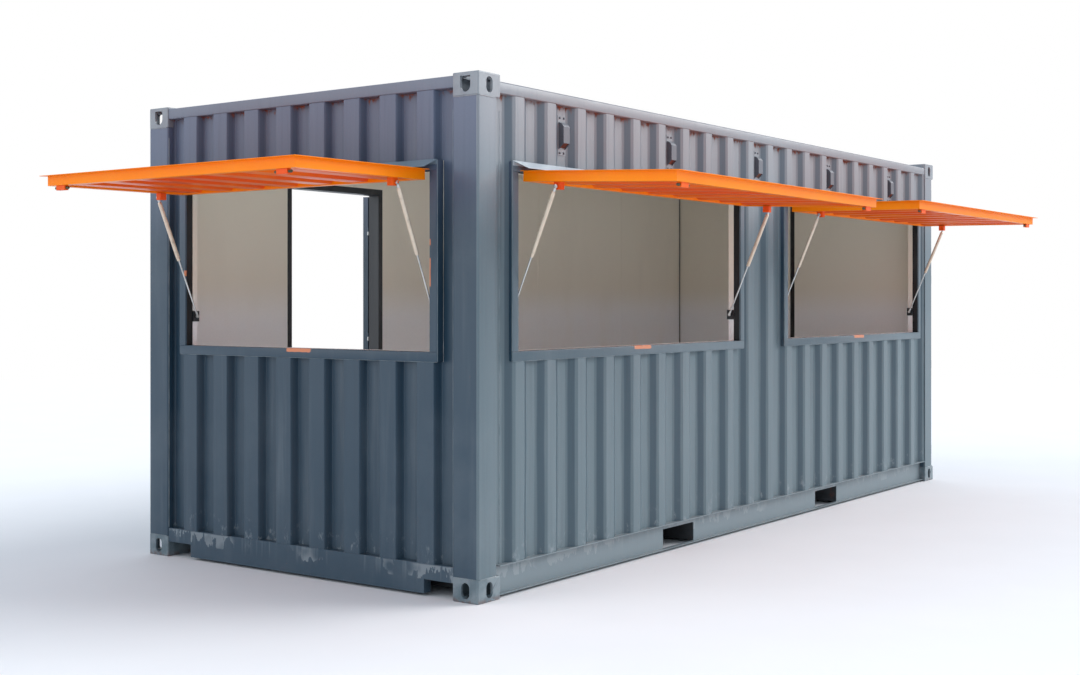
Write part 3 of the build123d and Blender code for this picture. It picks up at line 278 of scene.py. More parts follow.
def grid_faces(columns, rows, keep=None, flip=False):
    """Four-cornered faces of a grid of columns by rows, whose vertices run row by row."""
    column, row = np.meshgrid(np.arange(columns - 1), np.arange(rows - 1))
    first = (row * columns + column)
    faces = np.stack([first, first + 1, first + columns + 1, first + columns], axis=-1)
    if keep is not None:
        faces = faces[keep]
    faces = faces.reshape(-1, 4)
    return faces[:, ::-1] if flip else faces


def even(start, end, spacing):
    """Evenly spaced levels from start to end, no further apart than a spacing."""
    return np.linspace(start, end, max(2, math.ceil((end - start) / spacing) + 1))


def opened_sheet(line, levels, openings, seed, height, flip=False):
    """A sheet with a folded line along it and holes in it, as along, depth, up and faces.

    Its stations are those of the line and the sides of the holes, its levels those given and those of
    the holes. Depth follows the line and the dents, which fade to nothing at the first and last level.
    """
    foot, top = levels[0], levels[-1]
    cuts = [cut for hole in openings for cut in hole[:2] if line[0, 0] < cut < line[-1, 0]]
    heights = [cut for hole in openings for cut in hole[2:] if foot < cut < top]
    stations = np.unique(np.round(np.concatenate([line[:, 0], cuts]), 6))
    ups = np.unique(np.round(np.concatenate([levels, heights]), 6))
    along, up = np.meshgrid(stations, ups)
    fade = np.clip(np.minimum(up - foot, top - up) / 0.12, 0, 1)
    depth = np.interp(stations, line[:, 0], line[:, 1]) + fade * ripple(along, up, seed, height)
    mid_s, mid_u = (stations[1:] + stations[:-1]) / 2, ((ups[1:] + ups[:-1]) / 2)[:, None]
    keep = np.ones((len(ups) - 1, len(mid_s)), bool)
    for s0, s1, u0, u1 in openings:
        keep &= ~((mid_s > s0) & (mid_s < s1) & (mid_u > u0) & (mid_u < u1))
    faces = grid_faces(len(stations), len(ups), keep, flip)
    used, faces = np.unique(faces, return_inverse=True)
    return along.ravel()[used], depth.ravel()[used], up.ravel()[used], faces.reshape(-1, 4)


def board(points, faces, axis, back):
    """A sheet made into a closed board: its faces, the same faces on a flat back, and its edges.

    The flat back has the same points, with one coordinate set to the level of the back.
    """
    count = len(points)
    rear = points.copy()
    rear[:, axis] = back
    first, last = faces.ravel(), np.roll(faces, -1, axis=1).ravel()
    rim = ~np.isin(last * count + first, first * count + last)
    first, last = first[rim], last[rim]
    sides = np.column_stack([last, first, first + count, last + count])
    return np.vstack([points, rear]), np.vstack([faces, faces[:, ::-1] + count, sides])


def inset_outline(outline, amount):
    """An outline moved inwards by an amount, each point along the mitre of its two sides."""
    before, after = outline - np.roll(outline, 1, axis=0), np.roll(outline, -1, axis=0) - outline
    unit = [side / np.maximum(np.linalg.norm(side, axis=1), 1e-9)[:, None] for side in (before, after)]
    normal = unit[0] + unit[1]
    normal = np.column_stack([-normal[:, 1], normal[:, 0]])
    size = np.linalg.norm(normal, axis=1)
    stretch = 2 / np.maximum(size, 0.6) ** 2
    return outline + amount * normal * stretch[:, None]


def counter_clockwise(outline):
    """The same outline, running counter-clockwise."""
    outline = np.asarray(outline, float)
    x, y = outline[:, 0], outline[:, 1]
    area = (x * np.roll(y, -1) - np.roll(x, -1) * y).sum()
    return outline if area > 0 else outline[::-1]


def tube_faces(rings, sides):
    """Four-cornered faces between rings of points that run round a tube, and its two flat ends."""
    index = np.arange(rings * sides).reshape(rings, sides)
    following = np.roll(index, -1, axis=1)
    faces = np.stack([index[:-1], following[:-1], following[1:], index[1:]], axis=-1)
    return faces.reshape(-1, 4).tolist() + [index[0][::-1].tolist(), index[-1].tolist()]


def carried(outline, axis, start, end, ends=0.0, steps=3):
    """An outline carried in a straight line along an axis, with faces at both ends.

    With an end rounding e the outline at angle a, from 0 to 90 degrees, is drawn in by e(1 - sin a)
    and stands e(1 - cos a) from the end. For axes x, y and z the outline is (y, z), (z, x) and (x, y).
    """
    outline = counter_clockwise(outline)
    if ends > 0:
        angles = np.linspace(0, math.pi / 2, steps)
        insets = ends * (1 - np.sin(angles))
        offsets = ends * (1 - np.cos(angles))
        stops = np.concatenate([start + offsets, end - offsets[::-1]])
        insets = np.concatenate([insets, insets[::-1]])
    else:
        stops, insets = np.array([start, end]), np.zeros(2)
    rings = np.stack([inset_outline(outline, amount) for amount in insets])
    count, sides = rings.shape[:2]
    along = np.repeat(stops[:, None], sides, axis=1)
    flat = np.stack([along, rings[..., 0], rings[..., 1]], axis=-1)
    order = {"x": (0, 1, 2), "y": (2, 0, 1), "z": (1, 2, 0)}[axis]
    return flat[..., order].reshape(-1, 3), tube_faces(count, sides)


def rectangle(u0, u1, v0, v1, radius, steps=4):
    """A rectangle with rounded corners."""
    return rounded([(u0, v0), (u1, v0), (u1, v1), (u0, v1)], radius, True, steps)


def bar(low, high, axis, radius, ends=None):
    """A box between two corners as a rounded rectangle carried along an axis."""
    (x0, y0, z0), (x1, y1, z1) = low, high
    flat = {"x": (y0, y1, z0, z1), "y": (z0, z1, x0, x1), "z": (x0, x1, y0, y1)}[axis]
    start, end = {"x": (x0, x1), "y": (y0, y1), "z": (z0, z1)}[axis]
    return carried(rectangle(*flat, radius), axis, start, end, radius * 0.6 if ends is None else ends)


def turned(profile, sides=20):
    """A profile of (height, radius) turned round local Z, closed at both ends.

    A point at angle a is (radius cos a, radius sin a, height).
    """
    profile = np.asarray(profile, float)
    angle = np.arange(sides) * 2 * math.pi / sides
    height = np.repeat(profile[:, :1], sides, axis=1)
    verts = np.stack([profile[:, 1:] * np.cos(angle), profile[:, 1:] * np.sin(angle), height], axis=-1)
    faces = tube_faces(len(profile), sides)
    if profile[0, 0] > profile[-1, 0]:
        faces = [face[::-1] for face in faces]
    return verts.reshape(-1, 3), faces


def moved(shape, matrix):
    """A shape's points taken through a 4 by 4 matrix."""
    verts, faces = shape
    return verts @ matrix[:3, :3].T + matrix[:3, 3], faces


def place(origin=(0, 0, 0), x=None, z=(0, 0, 1)):
    """The matrix of a local frame from its origin, its Z direction and, if given, its X direction."""
    z = np.asarray(z, float) / np.linalg.norm(z)
    if x is None:
        x = (1, 0, 0) if abs(z[0]) < 0.9 else (0, 1, 0)
    x = np.asarray(x, float)
    x = x - z * (x @ z)
    x = x / np.linalg.norm(x)
    matrix = np.eye(4)
    matrix[:3, 0], matrix[:3, 1], matrix[:3, 2], matrix[:3, 3] = x, np.cross(z, x), z, origin
    return matrix


def joined(shapes):
    """Several shapes as one list of points and one of faces."""
    verts, faces, base = [], [], 0
    for points, polygons in shapes:
        points = np.asarray(points, float)
        verts.append(points)
        faces.extend([[int(corner) + base for corner in polygon] for polygon in polygons])
        base += len(points)
    return np.vstack(verts), faces


# Pieces

def settle(piece, finish, replaces, body):
    """Gives a piece its finish and its body, and hides what it stands for."""
    piece.data.materials.append(bpy.data.materials[finish])
    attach(piece, body)
    if replaces:
        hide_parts(*replaces)


def smooth_object(name, mesh, angle):
    """A new object of a mesh that is smooth except at edges sharper than an angle."""
    mesh.shade_smooth()
    mesh.set_sharp_from_angle(angle=angle)
    piece = bpy.data.objects.new(name, mesh)
    bpy.context.scene.collection.objects.link(piece)
    return piece


def add_piece(name, shape, finish, replaces=(), slot="container_paint", body="container"):
    """A new mesh object from points and faces, on a body."""
    verts, faces = shape
    mesh = bpy.data.meshes.new(name)
    mesh.from_pydata(np.asarray(verts).tolist(), [], [list(map(int, face)) for face in faces])
    piece = smooth_object(name, mesh, SHARP_ANGLE)
    settle(piece, finish, replaces, body)
    return piece


def give_thickness(piece, thickness, edge=SHEET_EDGE):
    """Thickens a sheet behind its face, and rounds its cut edges."""
    solid = piece.modifiers.new("thickness", "SOLIDIFY")
    solid.thickness, solid.offset, solid.use_even_offset = thickness, -1, True
    round_edges(piece, edge, 1, SHARP_CUT)


def round_edges(piece, width, segments=2, angle=SHARP_ANGLE):
    """Rounds every edge of a piece that is sharper than an angle."""
    bevel = piece.modifiers.new("edges", "BEVEL")
    bevel.width, bevel.segments, bevel.limit_method = width, segments, "ANGLE"
    bevel.angle_limit, bevel.harden_normals = angle, True
    return bevel


def dressed_copy(node, name, edge, finish, segments=2, longest=False):
    """A welded copy of a CAD node with flat faces joined up and its edges rounded, in its place.

    The rounding takes every sharp edge, or only the long outer ones, so that a hole's short rim edges
    don't hold it back.
    """
    shape = bmesh.new()
    shape.from_mesh(frame["nodes"][node].data)
    bmesh.ops.remove_doubles(shape, verts=shape.verts, dist=2e-5)
    bmesh.ops.dissolve_limit(shape, angle_limit=FLAT_JOIN, verts=shape.verts, edges=shape.edges)
    if longest:
        weight = shape.edges.layers.float.new("bevel_weight_edge")
        for line in shape.edges:
            line[weight] = float(line.is_convex and line.calc_length() > LONG_EDGE)
    mesh = bpy.data.meshes.new(name)
    shape.to_mesh(mesh)
    shape.free()
    piece = smooth_object(name, mesh, SHARP_COPY)
    settle(piece, finish, (node,), frame["nodes"][node]["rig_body"])
    bevel = round_edges(piece, edge, segments)
    if longest:
        bevel.limit_method, bevel.use_clamp_overlap = "WEIGHT", False


def add_sheet(name, shape, *settings):
    """A piece that is a pressed sheet: a face with the thickness of the sheet behind it."""
    give_thickness(add_piece(name, shape, *settings), chosen("cabin_sheets").sheet)


# Materials

class Net:
    """Adds and links shader nodes in one tree."""

    def __init__(self, tree):
        self.tree = tree

    def put(self, target, value):
        """Sets a socket to a constant, or links another socket to it."""
        if isinstance(value, bpy.types.NodeSocket):
            self.tree.links.new(value, target)
        elif isinstance(value, (tuple, list)) and len(value) == 3 and target.type == "RGBA":
            target.default_value = (*value, 1.0)
        else:
            target.default_value = value

    def node(self, kind, inputs=None, **settings):
        """A node with its settings and its inputs, which are named or numbered."""
        made = self.tree.nodes.new(kind)
        for key, value in settings.items():
            setattr(made, key, value)
        for key, value in (inputs or {}).items():
            self.put(made.inputs[key], value)
        return made

    def calc(self, operation, first, second=0.0, clamp=False):
        """A number worked out from two others."""
        return self.node("ShaderNodeMath", {0: first, 1: second}, operation=operation,
                         use_clamp=clamp).outputs[0]

    def step(self, value, low, high, to_low=0.0, to_high=1.0):
        """A smooth step of a value between two thresholds."""
        return self.node("ShaderNodeMapRange", {0: value, 1: low, 2: high, 3: to_low, 4: to_high},
                         interpolation_type="SMOOTHSTEP", clamp=True).outputs[0]

    def mix(self, factor, first, second, blend="MIX"):
        """A colour between two others."""
        made = self.node("ShaderNodeMix", data_type="RGBA", blend_type=blend)
        self.put(made.inputs[0], factor)
        self.put(made.inputs[6], first)
        self.put(made.inputs[7], second)
        return made.outputs[2]

    def where(self):
        """The place on the object."""
        return self.node("ShaderNodeTexCoord").outputs["Object"]

    def xyz(self):
        """The place on the object, and its three parts."""
        where = self.where()
        return where, self.node("ShaderNodeSeparateXYZ", {0: where}).outputs

    def noise(self, where, scale, stretch=(1, 1, 1), detail=4.0, rough=0.55, shift=(0, 0, 0)):
        """Noise on the object, with its own stretch and shift."""
        mapped = self.node("ShaderNodeMapping", {"Vector": where, "Scale": stretch, "Location": shift})
        made = self.node("ShaderNodeTexNoise", {"Vector": mapped.outputs[0], "Scale": scale,
                                                "Detail": detail, "Roughness": rough})
        return made.outputs[0]


def group_tree(name, inputs, outputs):
    """A new shader node group with named sockets, its net and its ends; an old group comes without them."""
    if name in bpy.data.node_groups:
        return bpy.data.node_groups[name], None, None, None
    tree = bpy.data.node_groups.new(name, "ShaderNodeTree")
    for label, kind, default in inputs:
        socket = tree.interface.new_socket(name=label, in_out="INPUT", socket_type=kind)
        socket.default_value = (*default, 1.0) if kind == "NodeSocketColor" else default
    for label, kind in outputs:
        tree.interface.new_socket(name=label, in_out="OUTPUT", socket_type=kind)
    start, end = tree.nodes.new("NodeGroupInput"), tree.nodes.new("NodeGroupOutput")
    return tree, Net(tree), start.outputs, end.inputs


COLOUR, NUMBER = "NodeSocketColor", "NodeSocketFloat"


def darker(tone, factor):
    """A colour with all its parts times a factor."""
    return tuple(part * factor for part in tone)


def weathered_coat():
    """Paint with cloudy fading, fine rain streaks, dust and orange peel, paler towards the roof as a
    painted reflection of the sky.
    """
    tree, net, given, out = group_tree(
        "Weathered coat",
        [("Paint", COLOUR, (0.1, 0.1, 0.1)), ("High paint", COLOUR, (0.1, 0.1, 0.1)),
         ("Dust", COLOUR, (0.4, 0.4, 0.4)), ("Streaks", NUMBER, 0.5), ("Dustiness", NUMBER, 0.2),
         ("Gloss", NUMBER, 0.4)],
        [("Color", COLOUR), ("Roughness", NUMBER), ("Height", NUMBER)])
    if net is None:
        return tree
    where, axes = net.xyz()
    # Painted reflection of the sky: towards the roof the paint turns to the high paint
    high = net.step(axes[2], 1.70, 2.50)
    paint = net.mix(high, given["Paint"], given["High paint"])
    cloud = net.noise(where, 1.3, detail=5.0, rough=0.6)
    fine = net.noise(where, 14.0, (3.2, 3.2, 0.10), 3.0, 0.6)
    broad = net.noise(where, 5.0, (2.2, 2.2, 0.12), 3.0, 0.6, (3, 5, 1))
    streak = net.calc("MULTIPLY", net.step(fine, 0.50, 0.72), given["Streaks"])
    pale = net.calc("MULTIPLY", net.step(broad, 0.52, 0.78), given["Streaks"])
    shaded = net.mix(1.0, paint, (0.66, 0.68, 0.72), "MULTIPLY")
    paint = net.mix(net.calc("MULTIPLY", streak, 0.42), paint, shaded)
    dust = net.calc("MULTIPLY", net.step(cloud, 0.42, 0.75), given["Dustiness"])
    dust = net.calc("ADD", dust, net.calc("MULTIPLY", pale, 0.16), True)
    paint = net.mix(dust, paint, given["Dust"])
    grain = net.noise(where, 90.0, detail=2.0)
    net.put(out["Color"], net.mix(net.step(grain, 0.3, 0.8, 0.0, 0.10), paint, shaded))
    rough = net.calc("ADD", given["Gloss"], net.step(cloud, 0.3, 0.8, -0.05, 0.14))
    net.put(out["Roughness"], net.calc("ADD", rough, net.calc("MULTIPLY", dust, 0.35), True))
    peel = net.noise(where, 260.0, detail=1.0)
    net.put(out["Height"], net.calc("ADD", net.calc("MULTIPLY", peel, 0.35),
                                    net.calc("MULTIPLY", cloud, 0.2)))
    return tree


def rust_marks():
    """Lays mottled rust over a colour where a mask asks for it."""
    tree, net, given, out = group_tree(
        "Rust marks",
        [("Color", COLOUR, (0.1, 0.1, 0.1)), ("Roughness", NUMBER, 0.4), ("Mask", NUMBER, 0.0),
         ("Rust", COLOUR, (0.2, 0.05, 0.02)), ("Fresh rust", COLOUR, (0.4, 0.1, 0.03))],
        [("Color", COLOUR), ("Roughness", NUMBER)])
    if net is None:
        return tree
    where = net.where()
    mottle = net.noise(where, 55.0, detail=5.0, rough=0.65)
    rust = net.mix(net.step(mottle, 0.35, 0.7), given["Rust"], given["Fresh rust"])
    net.put(out["Color"], net.mix(given["Mask"], given["Color"], rust))
    net.put(out["Roughness"], net.mix(given["Mask"], given["Roughness"], (0.85, 0.85, 0.85)))
    return tree


def brushed_metal():
    """Plated steel with fine scratches, dull blotches and a slight tint."""
    tree, net, given, out = group_tree(
        "Brushed metal",
        [("Metal", COLOUR, (0.6, 0.6, 0.6)), ("Stain", COLOUR, (0.3, 0.25, 0.2)), ("Gloss", NUMBER, 0.35)],
        [("Color", COLOUR), ("Roughness", NUMBER), ("Height", NUMBER)])
    if net is None:
        return tree
    where = net.where()
    scratch = net.noise(where, 160.0, (1, 1, 0.08), 3.0)
    blotch = net.noise(where, 22.0, detail=4.0)
    net.put(out["Color"], net.mix(net.step(blotch, 0.5, 0.8, 0.0, 0.5), given["Metal"], given["Stain"]))
    rough = net.step(blotch, 0.3, 0.8, -0.08, 0.22)
    net.put(out["Roughness"], net.calc("ADD", given["Gloss"], rough, True))
    net.put(out["Height"], scratch)
    return tree


class Finish:
    """A material whose colour, roughness and height can be changed step by step."""

    def __init__(self, name, metallic=0.0, bump=0.0004, strength=0.25):
        self.material = bpy.data.materials.new(name)
        self.material.use_nodes = True
        self.net = Net(self.material.node_tree)
        self.shader = self.material.node_tree.nodes["Principled BSDF"]
        self.shader.inputs["Metallic"].default_value = metallic
        self.bump, self.strength = bump, strength
        self.where, self.axes = self.net.xyz()
        self.colour = self.rough = self.height = None

    def use(self, tree, values):
        """Puts a node group in the material and takes its outputs."""
        made = self.net.node("ShaderNodeGroup", node_tree=tree)
        for key, value in values.items():
            self.net.put(made.inputs[key], value)
        self.colour, self.rough = made.outputs["Color"], made.outputs["Roughness"]
        if "Height" in made.outputs:
            self.height = made.outputs["Height"]
        return self

    def coat(self, paint, high=None, streaks=0.6, dustiness=0.12, gloss=0.36):
        """A coat of weathered paint."""
        tint = chosen("cabin_colours")
        paint, high = (tone if isinstance(tone, bpy.types.NodeSocket) else tuple(tone)
                       for tone in (paint, high or paint))
        return self.use(weathered_coat(), {"Paint": paint, "High paint": high,
                                           "Dust": tuple(tint.dust), "Streaks": streaks,
                                           "Dustiness": dustiness, "Gloss": gloss})

    def rust(self, mask):
        """Rust over what is there."""
        tint = chosen("cabin_colours")
        return self.use(rust_marks(), {"Color": self.colour, "Roughness": self.rough, "Mask": mask,
                                       "Rust": tuple(tint.rust), "Fresh rust": tuple(tint.fresh_rust)})

    def rust_spots(self, scale, detail, low, high, amount):
        """Rust where noise passes from a low threshold to a high one."""
        net = self.net
        speck = net.step(net.noise(self.where, scale, detail=detail, rough=0.7), low, high)
        return self.rust(net.calc("MULTIPLY", speck, amount))

    def stain(self, mask, tone, amount=1.0):
        """Another colour over what is there."""
        factor = self.net.calc("MULTIPLY", mask, amount)
        self.colour = self.net.mix(factor, self.colour, tuple(tone))
        return self

    def done(self):
        """Links the result to the shader."""
        net = self.net
        net.put(self.shader.inputs["Base Color"], self.colour)
        net.put(self.shader.inputs["Roughness"], self.rough)
        if self.height is not None:
            made = net.node("ShaderNodeBump", {"Height": self.height, "Strength": self.strength,
                                               "Distance": self.bump})
            net.put(self.shader.inputs["Normal"], made.outputs[0])
        return self.material


def under_rail_rust(finish, recess, top):
    """A mask of rust that runs down from under a rail, in the recesses of a wall."""
    net = finish.net
    drips = net.noise(finish.where, 60.0, (1, 1, 0.02), 2.0)
    reach = net.step(drips, 0.35, 0.75, 0.008, 0.048)
    down = net.calc("SUBTRACT", top, finish.axes[2])
    line = net.step(net.calc("DIVIDE", down, reach), 1.0, 0.25)
    spots = net.step(net.noise(finish.where, 24.0, detail=4.0), 0.38, 0.58)
    return net.calc("MULTIPLY", net.calc("MULTIPLY", line, spots), recess)


def foot_scuffs(finish, foot):
    """A mask of pale scuffs near the foot of a wall."""
    net, reach, amount = finish.net, 0.16, 0.55
    low = net.step(finish.axes[2], foot + reach, foot)
    patches = net.step(net.noise(finish.where, 26.0, (1, 1, 0.6), 5.0, 0.65), 0.55, 0.72)
    return net.calc("MULTIPLY", net.calc("MULTIPLY", low, patches), amount)


def wall_finish(name, paints, shade, axis, outer, inner, top, foot):
    """Container paint for a folded wall that faces along one axis, with painted shade darkening its webs.
    """
    tint = chosen("cabin_colours")
    finish = Finish(name).coat(*paints, 0.8, 0.10, 0.40)
    net = finish.net
    recess = net.step(finish.axes[axis], outer, inner)
    # Painted shade: the webs of the folds are darkened by the share in shade
    web = net.calc("MULTIPLY", recess, net.calc("SUBTRACT", 1.0, recess))
    web = net.step(web, 0.01, 0.12)
    painted_web_shade = net.mix(1.0, finish.colour, (0.40, 0.50, 0.57), "MULTIPLY")
    finish.colour = net.mix(net.calc("MULTIPLY", web, shade), finish.colour, painted_web_shade)
    finish.stain(foot_scuffs(finish, foot), tint.dust)
    finish.rust(under_rail_rust(finish, recess, top))
    return finish.done()


def steel_finish(name, streaks=0.5, gloss=0.34, spots=0.35, lift=0.0, sunny=0.6, reach=0.014):
    """Container paint on rails and posts, painted paler on the service side as painted light, with a few
    rust spots.

    Lift is how far it turns to the paler service colours everywhere, and sunny how much further within
    reach of that side, as painted light.
    """
    tint = chosen("cabin_colours")
    finish = Finish(name)
    net = finish.net
    # Painted light: within reach of the service side the paint turns to the paler service colours
    side = net.step(finish.axes[1], CAD_SERVICE + reach, CAD_SERVICE + reach * 0.7, lift, lift + sunny)
    finish.coat(net.mix(side, tuple(tint.container), tuple(tint.faded)),
                net.mix(side, tuple(tint.container_sheen_and_roof), tuple(tint.lit_side_high_and_vent_grey)), streaks, 0.14, gloss)
    return finish.rust_spots(34.0, 5.0, 0.68, 0.74, spots)


def wall_paints():
    """Container paint of the three folded walls, the service side painted paler than the others as painted
    light.
    """
    tint = chosen("cabin_colours")
    # Painted light: the service wall takes the paler service-side colours of its lit side
    plain, faded = (tint.container, tint.container_sheen_and_roof), (tint.faded, tint.lit_side_high_and_vent_grey)
    low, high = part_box("service_wall_bands")
    wall_finish("service wall paint", faded, 0.92, 1, low.y + 0.004, low.y + 0.034, high.z, low.z)
    low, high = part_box("back_wall_sides")
    wall_finish("back wall paint", plain, 0.45, 1, high.y - 0.004, high.y - 0.034, high.z, low.z)
    low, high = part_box("front_wall_bands")
    wall_finish("front wall paint", plain, 0.45, 0, low.x + 0.004, low.x + 0.042, high.z, low.z)


def roof_paint():
    """Dusty container paint with rust spots."""
    finish = Finish("roof paint").coat(chosen("cabin_colours").container_sheen_and_roof, None, 0.3, 0.35, 0.5)
    finish.rust_spots(9.0, 6.0, 0.64, 0.74, 0.7).done()


def underframe_paint():
    """Dull black paint with many rust spots."""
    finish = Finish("underframe paint").coat(chosen("cabin_colours").black, None, 0.4, 0.30, 0.6)
    finish.rust_spots(12.0, 6.0, 0.60, 0.72, 0.8).done()


def post_and_rail_paints():
    """Container paint of the posts, and of the top rails, which are paler everywhere; both are painted
    paler on their service faces as painted light.
    """
    steel_finish("steel paint", sunny=0.9).done()
    steel_finish("top rail paint", lift=0.25, sunny=1.3, reach=0.075).done()


def casting_paint():
    """Container paint worn pale in patches and scraped brown at the foot."""
    tint = chosen("cabin_colours")
    finish = steel_finish("casting paint", 0.2, 0.38, 0.6, 0.8)
    net = finish.net
    worn = net.step(net.noise(finish.where, 12.0, detail=4.0), 0.35, 0.62)
    finish.stain(worn, tint.dust, 0.42)
    scraped = net.step(net.noise(finish.where, 30.0, detail=4.0), 0.42, 0.56)
    foot = net.step(finish.axes[2], 0.030, 0.008)
    finish.stain(net.calc("MULTIPLY", scraped, foot), tint.rust, 0.5).done()


def bottom_rail_paint():
    """Container paint with pale lobes that hang from the rail's top edge, and pale runs lower down."""
    dust = chosen("cabin_colours").dust
    finish = steel_finish("bottom rail paint", 0.3, 0.42, 0.5, 0.0, 1.0, 0.075)
    net, height = finish.net, finish.axes[2]
    lobes = net.noise(finish.where, 13.0, (1, 1, 0.4), 4.0, 0.6)
    level = net.step(lobes, 0.38, 0.62, 0.172, 0.085)
    hang = net.step(net.calc("SUBTRACT", height, level), -0.001, 0.004)
    hang = net.calc("MULTIPLY", hang, net.step(height, 0.1645, 0.158))
    blotch = net.step(net.noise(finish.where, 3.0, detail=3.0, shift=(9, 2, 4)), 0.44, 0.54)
    # Painted light: paler in the dust colour within reach of the lit service side
    finish.stain(net.step(finish.axes[1], CAD_SERVICE + 0.075, CAD_SERVICE + 0.05), dust, 0.32)
    finish.stain(net.calc("MULTIPLY", hang, blotch), dust, 0.50)
    runs = net.step(net.noise(finish.where, 30.0, (1, 1, 0.05), 4.0), 0.50, 0.68)
    finish.stain(net.calc("MULTIPLY", runs, net.step(height, 0.05, 0.15)), dust, 0.18).done()


def surround_paint():
    """Container paint with orange marks where the hatches rub."""
    worn = chosen("cabin_colours").worn
    finish = steel_finish("surround paint", 0.4, 0.34, 0.25)
    net = finish.net
    rub = net.noise(finish.where, 22.0, (0.6, 0.6, 1), 4.0, 0.6)
    for centre, full, faded in scuff_places():
        near = 1.0
        for axis in range(3):
            offset = net.calc("ABSOLUTE", net.calc("SUBTRACT", finish.axes[axis], centre[axis]))
            near = net.calc("MULTIPLY", near, net.step(offset, faded[axis], full[axis]))
        finish.stain(net.step(net.calc("ADD", near, rub), 1.12, 1.46), worn, 0.75)
    finish.done()


def orange_paints():
    """Orange paint of the hatches, redder on the infill and the fittings as painted shade, and paler in
    clouds.
    """
    tint = chosen("cabin_colours")
    for name, paint in (("hatch paint", tint.hatch), ("hatch infill paint", tint.hatch_inner),
                        ("hatch fitting paint", tint.hatch_inner)):
        finish = Finish(name, bump=0.0003).coat(paint, None, 0.15, 0.01, 0.34)
        finish.shader.inputs["Specular IOR Level"].default_value = 0.15
        fade = finish.net.step(finish.net.noise(finish.where, 2.2, detail=4.0), 0.35, 0.75)
        finish.stain(fade, tint.hatch_edge, 0.35).done()


def flashing_paint():
    """Grey-blue sheet, painted paler on the service side as painted light."""
    tint = chosen("cabin_colours")
    finish = Finish("flashing paint")
    side = finish.net.step(finish.axes[1], CAD_SERVICE + 0.08, CAD_SERVICE + 0.04)
    paint = finish.net.mix(side, tuple(tint.flashing), tuple(tint.flashing_lit_side))
    finish.coat(paint, None, 0.35, 0.20, 0.42).done()


def plated_metals():
    """Zinc plate, and the yellowed coat of the strut tubes."""
    tint = chosen("cabin_colours")
    for name, metal, metallic, gloss in (("zinc steel", tint.steel, 1.0, 0.34),
                                         ("strut coat", tint.strut, 0.55, 0.42)):
        finish = Finish(name, metallic, 0.0002, 0.3)
        finish.use(brushed_metal(), {"Metal": tuple(metal), "Stain": darker(metal, 0.55), "Gloss": gloss})
        finish.done()


def plain_paints():
    """Paints and rubber of one colour: brackets, vents, joint filler, catches and seals."""
    tint = chosen("cabin_colours")
    for name, paint, streaks, dustiness, gloss, bump in (
            ("black paint", tint.black, 0.3, 0.05, 0.38, 0.0004),
            ("vent paint", tint.lit_side_high_and_vent_grey, 0.3, 0.10, 0.40, 0.0004),
            ("hood paint", tint.vent, 0.3, 0.10, 0.40, 0.0004),
            ("joint filler", tint.trim, 0.1, 0.05, 0.6, 0.0004),
            ("catch green", tint.catch, 0.2, 0.05, 0.45, 0.0004),
            ("rubber", tint.rubber, 0.0, 0.10, 0.72, 0.0006)):
        Finish(name, bump=bump).coat(paint, None, streaks, dustiness, gloss).done()


def scoop_rust():
    """The rusty plates in the vents."""
    finish = Finish("vent scoop").coat(chosen("cabin_colours").rust, None, 0.2, 0.0, 0.7)
    finish.rust(finish.net.step(finish.net.noise(finish.where, 40.0), 0.4, 0.6)).done()


def lining_sheet():
    """White lining, warm in the light of the hatches high up, and slightly darker in clouds."""
    tint = chosen("cabin_colours")
    finish = Finish("lining sheet", bump=0.0003, strength=0.15).coat(tint.lining, None, 0.06, 0.0, 0.46)
    net = finish.net
    clouds = net.noise(finish.where, 3.0, (1, 1, 0.3), 4.0)
    finish.stain(net.step(finish.axes[2], 1.30, 1.62), tint.lining_high)
    finish.stain(net.step(clouds, 0.5, 0.8), darker(tint.lining_high, 0.86), 0.3).done()


def floor_ply():
    """Pale boards with grain along the cabin and darker scuffs."""
    paint = chosen("cabin_colours").floor
    finish = Finish("floor ply", bump=0.0006, strength=0.35).coat(paint, None, 0.0, 0.04, 0.55)
    net = finish.net
    grain = net.noise(finish.where, 22.0, (0.12, 2.4, 1), 5.0, 0.65)
    finish.stain(net.step(grain, 0.40, 0.68), darker(paint, 0.7), 0.30)
    scuffs = net.noise(finish.where, 6.0, detail=5.0, rough=0.7)
    finish.stain(net.step(scuffs, 0.58, 0.75), darker(paint, 0.8), 0.35)
    finish.height = grain
    finish.done()


def scuff_places():
    """Worn places on the surrounds: centre, and the half sizes where a scuff is full and where it ends."""
    places = []
    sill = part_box("hatch_jambs")[0].z - 0.004
    for name in HATCH_NAMES:
        facts = hatch_facts(name)
        full, faded = [0.03, 0.03, 0.012], [0.06, 0.06, 0.024]
        full[facts["across"]], faded[facts["across"]] = 0.07, 0.13
        places.append(((facts["pivot"][0], facts["pivot"][1], sill), full, faded))
    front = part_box("hatch_heads_and_sills")[0].x
    edge = hatch_facts("end")["opening"] + 0.004
    for side, foot, top in ((-edge, 1.53, 1.70), (-edge, 1.735, 1.795), (edge, 1.60, 1.66)):
        places.append(((front, side, (foot + top) / 2), [0.05, 0.003, (top - foot) / 2 - 0.02],
                       [0.07, 0.011, (top - foot) / 2]))
    return places


# Shell

def folds(kind):
    """Pitch, flat, slope, depth and bend of one kind of wall."""
    sheets = chosen("cabin_sheets")
    sizes = [getattr(sheets, f"{kind}_{part}") for part in ("pitch", "flat", "slope", "depth")]
    return sizes + [sheets.bend]


def opening_rectangles(foot, top, margin=0.0):
    """Hatch openings with a margin as (from, to, foot, top), for the long wall and for the front."""
    found = {"end": [], "side": []}
    for name in HATCH_NAMES:
        facts = hatch_facts(name)
        centre, half = facts["pivot"][facts["across"]], facts["opening"] + margin
        found[facts["kind"]].append((centre - half, centre + half, foot, top))
    return found


